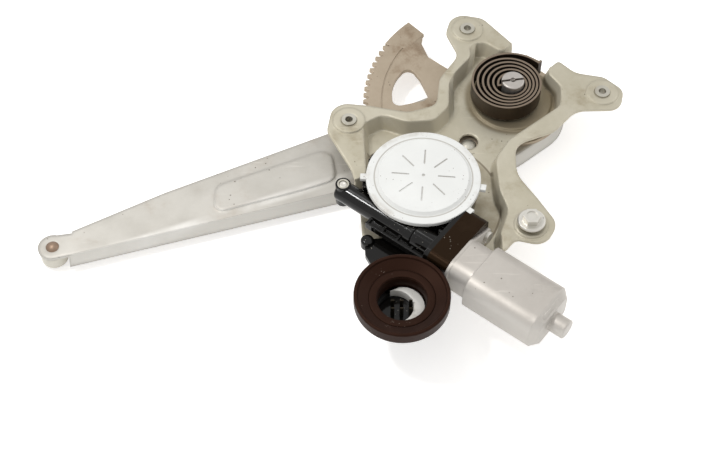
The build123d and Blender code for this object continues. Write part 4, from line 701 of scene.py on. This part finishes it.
def white_lid():
    """The lid's plastic, with painted shade in its creases, a darker line round its plateau and dirt along its
    rim.
    """
    made = moulded_start(
        "white lid", (0.85, 0.855, 0.83), (0.74, 0.73, 0.69),
        roughness=0.45, dusted=0.2, speck=LID_SPECK, specks=0.8,
    )
    tree = made.tree
    away, height = places(tree, WHEEL)
    plateau = between(tree, away, PLATEAU_END, PLATEAU_FULL)
    crease = between(tree, height, CREASE_START, CREASE_FULL)
    # Painted shade: the pressed creases are darkened, patchily, as shade falls in them.
    crease_shade = both(tree, crease, math_node(tree, "ADD", made.cloud, CREASE_LEAST))
    made.tint(both(tree, plateau, crease_shade), (0.34, 0.31, 0.27), 0.6)
    # A darker line round the plateau.
    made.tint(band(tree, away, *LINE_RING), (0.30, 0.27, 0.22), 0.6)
    rim = between(tree, away, RIM_START, RIM_FULL)
    made.tint(both(tree, rim, made.stain), (0.34, 0.28, 0.20), 0.45)
    # Darker towards the bottom of the skirt.
    made.tint(between(tree, height, SKIRT_START, SKIRT_FULL), (0.40, 0.34, 0.26), 0.3)
    return made.done(bump=0.1)


finishes["cover_white"] = white_lid()
print("lid top at", round(LID_TOP / MM, 2), "mm")

# %% [markdown]
# ## Rubber
#
# The connector's seal is a dark brown rubber, and the damper in the worm wheel a plain black one. A
# moulding's finish with more roughness would come close, but it has scratches, and rubber here has
# none. Its bloom and specks carry the look, and what little the seal mirrors is tinted brown.

# %% Rubber
RUBBER_SPECKS = 520.0


def rubber(name, colour, bloomed, mirror=WHITE):
    """Rubber with a pale bloom and specks of dirt."""
    made = Finish(name, colour, roughness=0.38, metallic=0.0, edge_radius=0.8 * MM)
    made.marks.inputs["Speck Scale"].default_value = RUBBER_SPECKS
    made.tint(made.cloud, bloomed, 0.5)
    made.tint(made.stain, scaled(bloomed, 1.6), 0.35)
    made.tint(made.speck, (0.42, 0.36, 0.30), 0.35)
    made.gloss(made.cloud, 0.12)
    made.relief(made.grain, 0.5)
    made.relief(made.stain, 0.5)
    return made.done(bump=0.2, specular=0.16, mirror=mirror)


finishes["seal_rubber"] = rubber(
    "seal rubber", (0.0105, 0.004, 0.0022), (0.019, 0.008, 0.005), mirror=(1.0, 0.55, 0.4)
)
finishes["damper_rubber"] = rubber("damper rubber", (0.02, 0.02, 0.02), (0.035, 0.035, 0.035))
print("finishes", len(finishes))

# %% [markdown]
# ## Giving the finishes to the pieces
#
# The record says which finish each piece takes, so a loop can dress them all. A piece keeps its mesh
# and only its material slot changes. Dressing 35 pieces by hand would invite a slip.

# %% Dress every piece
for part in frame["record"]["subparts"]:
    piece = frame["nodes"][part["node"]]
    piece.data.materials.clear()
    piece.data.materials.append(finishes[part["material_slot"]])

# %% [markdown]
# ## A pin in the end boss
#
# The metal sleeve of the gear box's end boss holds a pin, whose flat end shows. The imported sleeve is
# an open tube. The pin could be a cylinder, but its end is dished and its rim is broken, so it is a
# small profile spun round the sleeve's axis.

# %% Make a piece from a bmesh
SMOOTH_ANGLE = 35  # degrees, past which an edge stays sharp


def stand(name, mesh, slot, body):
    """Turns a bmesh into a piece of the part that moves with a body."""
    bmesh.ops.recalc_face_normals(mesh, faces=mesh.faces)
    data = bpy.data.meshes.new(name)
    mesh.to_mesh(data)
    mesh.free()
    for face in data.polygons:
        face.use_smooth = True
    data.set_sharp_from_angle(angle=radians(SMOOTH_ANGLE))
    piece = bpy.data.objects.new(name, data)
    bpy.context.scene.collection.objects.link(piece)
    data.materials.append(finishes[slot])
    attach(piece, body)
    print(name, len(data.polygons), "faces")
    return piece


# %% Spin a profile
SPIN_STEPS = 48
SAME_PLACE = 1e-6


def middle(low, high):
    """The middle of a box from its two corners, seen from above."""
    return (low.x + high.x) / 2, (low.y + high.y) / 2


def face_number(face, count):
    """A number from a face's corners, to sort faces by."""
    made = 0
    for index in sorted(v.index for v in face.verts):
        made = made * count + index
    return made


def spun(name, axis, profile, slot, body):
    """A closed solid of revolution from a profile of (radius, height) points, on an upright axis."""
    mesh = bmesh.new()
    points = [mesh.verts.new((axis[0] + radius, axis[1], height)) for radius, height in profile]
    edges = [mesh.edges.new(pair) for pair in zip(points, points[1:])]
    bmesh.ops.spin(
        mesh, geom=points + edges, cent=(*axis, 0), axis=(0, 0, 1),
        angle=radians(360), steps=SPIN_STEPS, use_merge=True,
    )
    bmesh.ops.remove_doubles(mesh, verts=mesh.verts, dist=SAME_PLACE)
    mesh.verts.index_update()
    count = len(mesh.verts)
    mesh.faces.sort(key=lambda face: face_number(face, count))  # the merge leaves them in any order
    return stand(name, mesh, slot, body)


# %% The sleeve's pin
SLEEVE_WALL = 1.1 * MM
PIN_BREAK, DISH_DEPTH, DISH_MIDDLE = 0.4 * MM, 0.3 * MM, 0.35 * MM
DISH_RIM, DISH_FLOOR = 0.45, 0.35  # as parts of the pin's radius

sleeve_low, sleeve_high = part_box("boss_sleeve")
PIN_RADIUS = (sleeve_high.x - sleeve_low.x) / 2 - SLEEVE_WALL
PIN_TOP = sleeve_high.z - 0.5 * MM
PIN_BOTTOM = sleeve_low.z + 1.0 * MM
pin_profile = [
    (0, PIN_BOTTOM),
    (PIN_RADIUS, PIN_BOTTOM),
    (PIN_RADIUS, PIN_TOP - PIN_BREAK),
    (PIN_RADIUS - PIN_BREAK, PIN_TOP),
    (DISH_RIM * PIN_RADIUS, PIN_TOP),
    (DISH_FLOOR * PIN_RADIUS, PIN_TOP - DISH_DEPTH),
    (0, PIN_TOP - DISH_MIDDLE),
]
spun("boss_pin", middle(sleeve_low, sleeve_high), pin_profile, "bolt_zinc", "plate")

# %% [markdown]
# ## The seal's inner lip
#
# The rubber seal runs over the socket's rim and down its wall, so no hard edge shows. It could be
# added to the seal's own mesh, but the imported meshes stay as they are. A second spun profile that
# laps the rim is the quickest way to that lip.

# %% The lip
# Radii of the lip and of the rim it laps, and the heights of their feet and of the rim's top.
LIP_OUTER, LIP_INNER, LIP_FOOT = 20.3 * MM, 14.8 * MM, 0.5 * MM
RIM_OUTER, RIM_INNER, RIM_TOP, RIM_FOOT = 17.1 * MM, 15.1 * MM, 10.05 * MM, 0.3 * MM

socket_axis = middle(*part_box("connector_seal"))
lip_profile = [
    (LIP_OUTER, RIM_TOP + 0.45 * MM),
    (RIM_OUTER, RIM_TOP + 0.55 * MM),
    (LIP_INNER + 0.5 * MM, RIM_TOP + 0.3 * MM),
    (LIP_INNER, RIM_TOP - 0.6 * MM),
    (LIP_INNER, LIP_FOOT),
    (RIM_INNER, RIM_FOOT),
    (RIM_INNER, RIM_TOP),
    (RIM_OUTER, RIM_TOP),
    (RIM_OUTER + 0.2 * MM, RIM_TOP - 0.9 * MM),
    (LIP_OUTER, RIM_TOP + 0.45 * MM),
]
spun("seal_lip", socket_axis, lip_profile, "seal_rubber", "plate")

# %% [markdown]
# ## The pale crescent
#
# A pale crescent at the bottom of the socket keys the plug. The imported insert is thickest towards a
# corner, and the real one towards the motor, so another crescent takes its place. A cylinder could be
# cut by another with a Boolean. An outline of two arcs, extruded and bevelled, gives cleaner faces.

# %% A prism from an outline
SAME_HEIGHT = 1e-7


def prism(name, outline, low, high, slot, body, place=None, bevel=0.3 * MM):
    """A closed prism from an outline in metres, with its top edges bevelled."""
    mesh = bmesh.new()
    base = mesh.faces.new([mesh.verts.new((x, y, low)) for x, y in outline])
    raised = bmesh.ops.extrude_face_region(mesh, geom=[base])["geom"]
    top = [v for v in raised if isinstance(v, bmesh.types.BMVert)]
    bmesh.ops.translate(mesh, vec=(0, 0, high - low), verts=top)
    rim = [e for e in mesh.edges if all(abs(v.co.z - high) < SAME_HEIGHT for v in e.verts)]
    bmesh.ops.bevel(mesh, geom=rim, offset=bevel, segments=2, profile=0.5, affect="EDGES", material=-1)
    if place is not None:
        mesh.transform(place)
    return stand(name, mesh, slot, body)


# %% The crescent
KEY_RADIUS, KEY_HOLLOW, KEY_SHIFT = 13.9 * MM, 11.4 * MM, -4.2 * MM
KEY_OUTSIDE, KEY_INSIDE = (-75, 95), (104, -84)  # degrees at which each arc starts and ends
KEY_POINTS = 32


def arc(centre, radius, start, end, count):
    """Points along an arc, with angles in degrees."""
    angles = [radians(start + (end - start) * i / (count - 1)) for i in range(count)]
    return [(centre[0] + radius * cos(a), centre[1] + radius * sin(a)) for a in angles]


key_low, key_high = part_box("connector_insert")
hollow_axis = (socket_axis[0] + KEY_SHIFT, socket_axis[1])
key_outline = arc(socket_axis, KEY_RADIUS, *KEY_OUTSIDE, KEY_POINTS)
key_outline += arc(hollow_axis, KEY_HOLLOW, *KEY_INSIDE, KEY_POINTS)
socket_key = prism("socket_key", key_outline, key_low.z, key_high.z, "cover_white", "plate")
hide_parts("connector_insert")

# %% [markdown]
# ## The sector's head
#
# The toothed band ends in a broad head that runs into the web in one line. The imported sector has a
# notch there. A thin plate with the head's outline fills it. It lies a hair inside the sector's
# faces, so only the part in the notch shows.

# %% The head
HEAD_THICK, HEAD_INSET = 2.9 * MM, 0.05 * MM
HEAD_CORNERS = [
    (50.9, 87.0), (49.9, 82.0), (54.2, 70.0), (57.5, 61.2),
    (50, 59.5), (41, 65.5), (38, 72), (45, 89),
]

sector_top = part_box("sector_gear")[1].z
head_outline = [(x * MM, y * MM) for x, y in HEAD_CORNERS]
prism(
    "sector_head", head_outline, sector_top - HEAD_THICK, sector_top - HEAD_INSET,
    "sector_zinc", "arm", bevel=0.15 * MM,
)

# %% [markdown]
# ## The motor can's closed end
#
# The can's end is drawn in one piece with its walls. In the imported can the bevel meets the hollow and
# leaves a hair-wide slit across each flat side. The can's mesh could be mended, but it stays as it
# is. A strip lies over each slit instead, flush with the bevel.

# %% How far the can reaches along the armature
NUB_REACH = 10.5 * MM

motor_place = Vector(joint("armature_turn")["pos_m"])
motor_along = Vector(joint("armature_turn")["axis"]).normalized()
along_can = [(v.co - motor_place).dot(motor_along) for v in frame["nodes"]["motor_yoke"].data.vertices]
can_reach = max(max(along_can), -min(along_can))
if can_reach > max(along_can):
    motor_along = -motor_along
can_end = can_reach - NUB_REACH
print("can reaches", round(can_reach / MM, 2), "mm along the armature's axis")

# %% Strips along the can's bevel
CAN_HALF, CAN_BEVEL = 14.0 * MM, 4.5 * MM
STRIP_START, STRIP_WIDE, STRIP_DEEP, STRIP_PROUD = 1.2 * MM, 1.8 * MM, 0.35 * MM, 0.03 * MM
STRIP_HALF = 8.5 * MM


def on_bevel(back, inward):
    """A point in the can's section: so far back from its end on the bevel, and so far under it."""
    return can_end - back - inward, CAN_HALF - CAN_BEVEL + back - inward


strip_outline = [
    on_bevel(STRIP_START, -STRIP_PROUD),
    on_bevel(STRIP_START + STRIP_WIDE, -STRIP_PROUD),
    on_bevel(STRIP_START + STRIP_WIDE, STRIP_DEEP),
    on_bevel(STRIP_START, STRIP_DEEP),
]
for name, up in (("can_strip_upper", Vector((0, 0, 1))), ("can_strip_lower", Vector((0, 0, -1)))):
    section = Matrix((motor_along, up, motor_along.cross(up))).transposed().to_4x4()
    prism(
        name, strip_outline, -STRIP_HALF, STRIP_HALF, "yoke_zinc", "plate",
        place=Matrix.Translation(motor_place) @ section, bevel=0.02 * MM,
    )

# %% [markdown]
# ## The table
#
# The part lies on a white table. White could be had by more light, but then the part would be too
# bright. So the table glows a little, for the camera and for what mirrors show, and it still takes
# the part's shadow.

# %% The table
TABLE_HALF, TABLE_GAP = 4.0, 0.2 * MM
TABLE_GLOW, TABLE_ROUGHNESS = 0.5, 0.7
TABLE_DULL, TABLE_CLEAN = (0.92, 0.905, 0.885, 1), (0.95, 0.935, 0.92, 1)


def seen_directly(tree):
    """1 for what the camera sees, and for what metal and glass show of it."""
    seen = tree.nodes.new("ShaderNodeLightPath")
    direct = math_node(tree, "MAXIMUM", seen.outputs["Is Camera Ray"], seen.outputs["Is Glossy Ray"])
    return math_node(tree, "MAXIMUM", direct, seen.outputs["Is Transmission Ray"])


def white_table():
    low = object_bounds()[0].z
    bpy.ops.mesh.primitive_plane_add(size=2 * TABLE_HALF, location=(0, 0, low - TABLE_GAP))
    table = bpy.context.object
    table.name = "table"
    material = bpy.data.materials.new("white table")
    material.use_nodes = True
    tree = material.node_tree
    shader = tree.nodes["Principled BSDF"]
    shader.inputs["Roughness"].default_value = TABLE_ROUGHNESS
    mix = node(tree, "ShaderNodeMix", data_type="RGBA")
    mix.inputs[MIX_A].default_value = TABLE_DULL
    mix.inputs[MIX_B].default_value = TABLE_CLEAN
    tree.links.new(noise(tree, object_place(tree), scale=3.0), mix.inputs["Factor"])
    tree.links.new(mix.outputs[MIX_RESULT], shader.inputs["Base Color"])
    shader.inputs["Emission Color"].default_value = (1, 1, 1, 1)
    glow = math_node(tree, "MULTIPLY", seen_directly(tree), TABLE_GLOW)
    tree.links.new(glow, shader.inputs["Emission Strength"])
    table.data.materials.append(material)
    print("table at", round((low - TABLE_GAP) / MM, 2), "mm")


white_table()

# %% [markdown]
# ## World and lamps
#
# A small bright lamp hangs above and to the left of the part. Its reflection is the streak along the
# black tubes, which a single large lamp would turn into a broad grey patch. Two wider lamps, overhead
# and from the right, soften the shadows. The world lights the part evenly, and the camera and the
# mirrors see it as white.

# %% World and lamps
WORLD_LIGHT = 0.66


def white_world():
    world = bpy.data.worlds.new("white room")
    bpy.context.scene.world = world
    world.use_nodes = True
    tree = world.node_tree
    background = tree.nodes["Background"]
    background.inputs["Color"].default_value = (1, 1, 1, 1)
    rise = math_node(tree, "MULTIPLY", seen_directly(tree), 1.0 - WORLD_LIGHT)
    tree.links.new(math_node(tree, "ADD", rise, WORLD_LIGHT), background.inputs["Strength"])


def lamp(name, place, aim, power, size, width=None):
    """An area lamp that faces a point: square, or a strip of another width."""
    data = bpy.data.lights.new(name, "AREA")
    data.size = size
    if width is not None:
        data.shape = "RECTANGLE"
        data.size_y = width
    data.energy = power
    made = bpy.data.objects.new(name, data)
    bpy.context.scene.collection.objects.link(made)
    made.location = place
    made.rotation_euler = (Vector(aim) - Vector(place)).to_track_quat("-Z", "Y").to_euler()
    print(name, power, "W")


white_world()
lamp("overhead lamp", (-0.25, 0.35, 1.1), (0.03, -0.03, 0), power=1.2, size=0.42, width=0.24)
lamp("side lamp", (0.95, 0.25, 0.6), (0.05, -0.05, 0), power=1.2, size=0.5)
lamp("main lamp", (-0.40, -0.03, 0.80), (0.01, -0.07, 0), power=2.9, size=0.16, width=0.08)

# %% [markdown]
# ## The camera
#
# The camera looks down at about 55 degrees from a metre away, through a long lens, so that near and
# far ends of the plate keep nearly the same scale. It could be placed by hand in the viewport.
# Numbers keep the view the same each time.

# %% The camera
PITCH = 54.9  # degrees below the horizon
CAMERA_PLACE = (0.007876, -0.622858, 0.765586)
SENSOR = 36
LENS = 1500 * SENSOR / 722  # a focal length of 1500 pixels in a picture 722 pixels wide

camera = bpy.data.objects.new("camera", bpy.data.cameras.new("camera"))
bpy.context.scene.collection.objects.link(camera)
camera.location = CAMERA_PLACE
camera.rotation_euler = (radians(90 - PITCH), 0, 0)
camera.data.sensor_width = SENSOR
camera.data.lens = LENS
camera.data.clip_start = 0.01
bpy.context.scene.camera = camera
bpy.context.scene.view_settings.view_transform = "Standard"
print("camera looks along", tuple(round(v, 3) for v in (0, cos(radians(PITCH)), -sin(radians(PITCH)))))
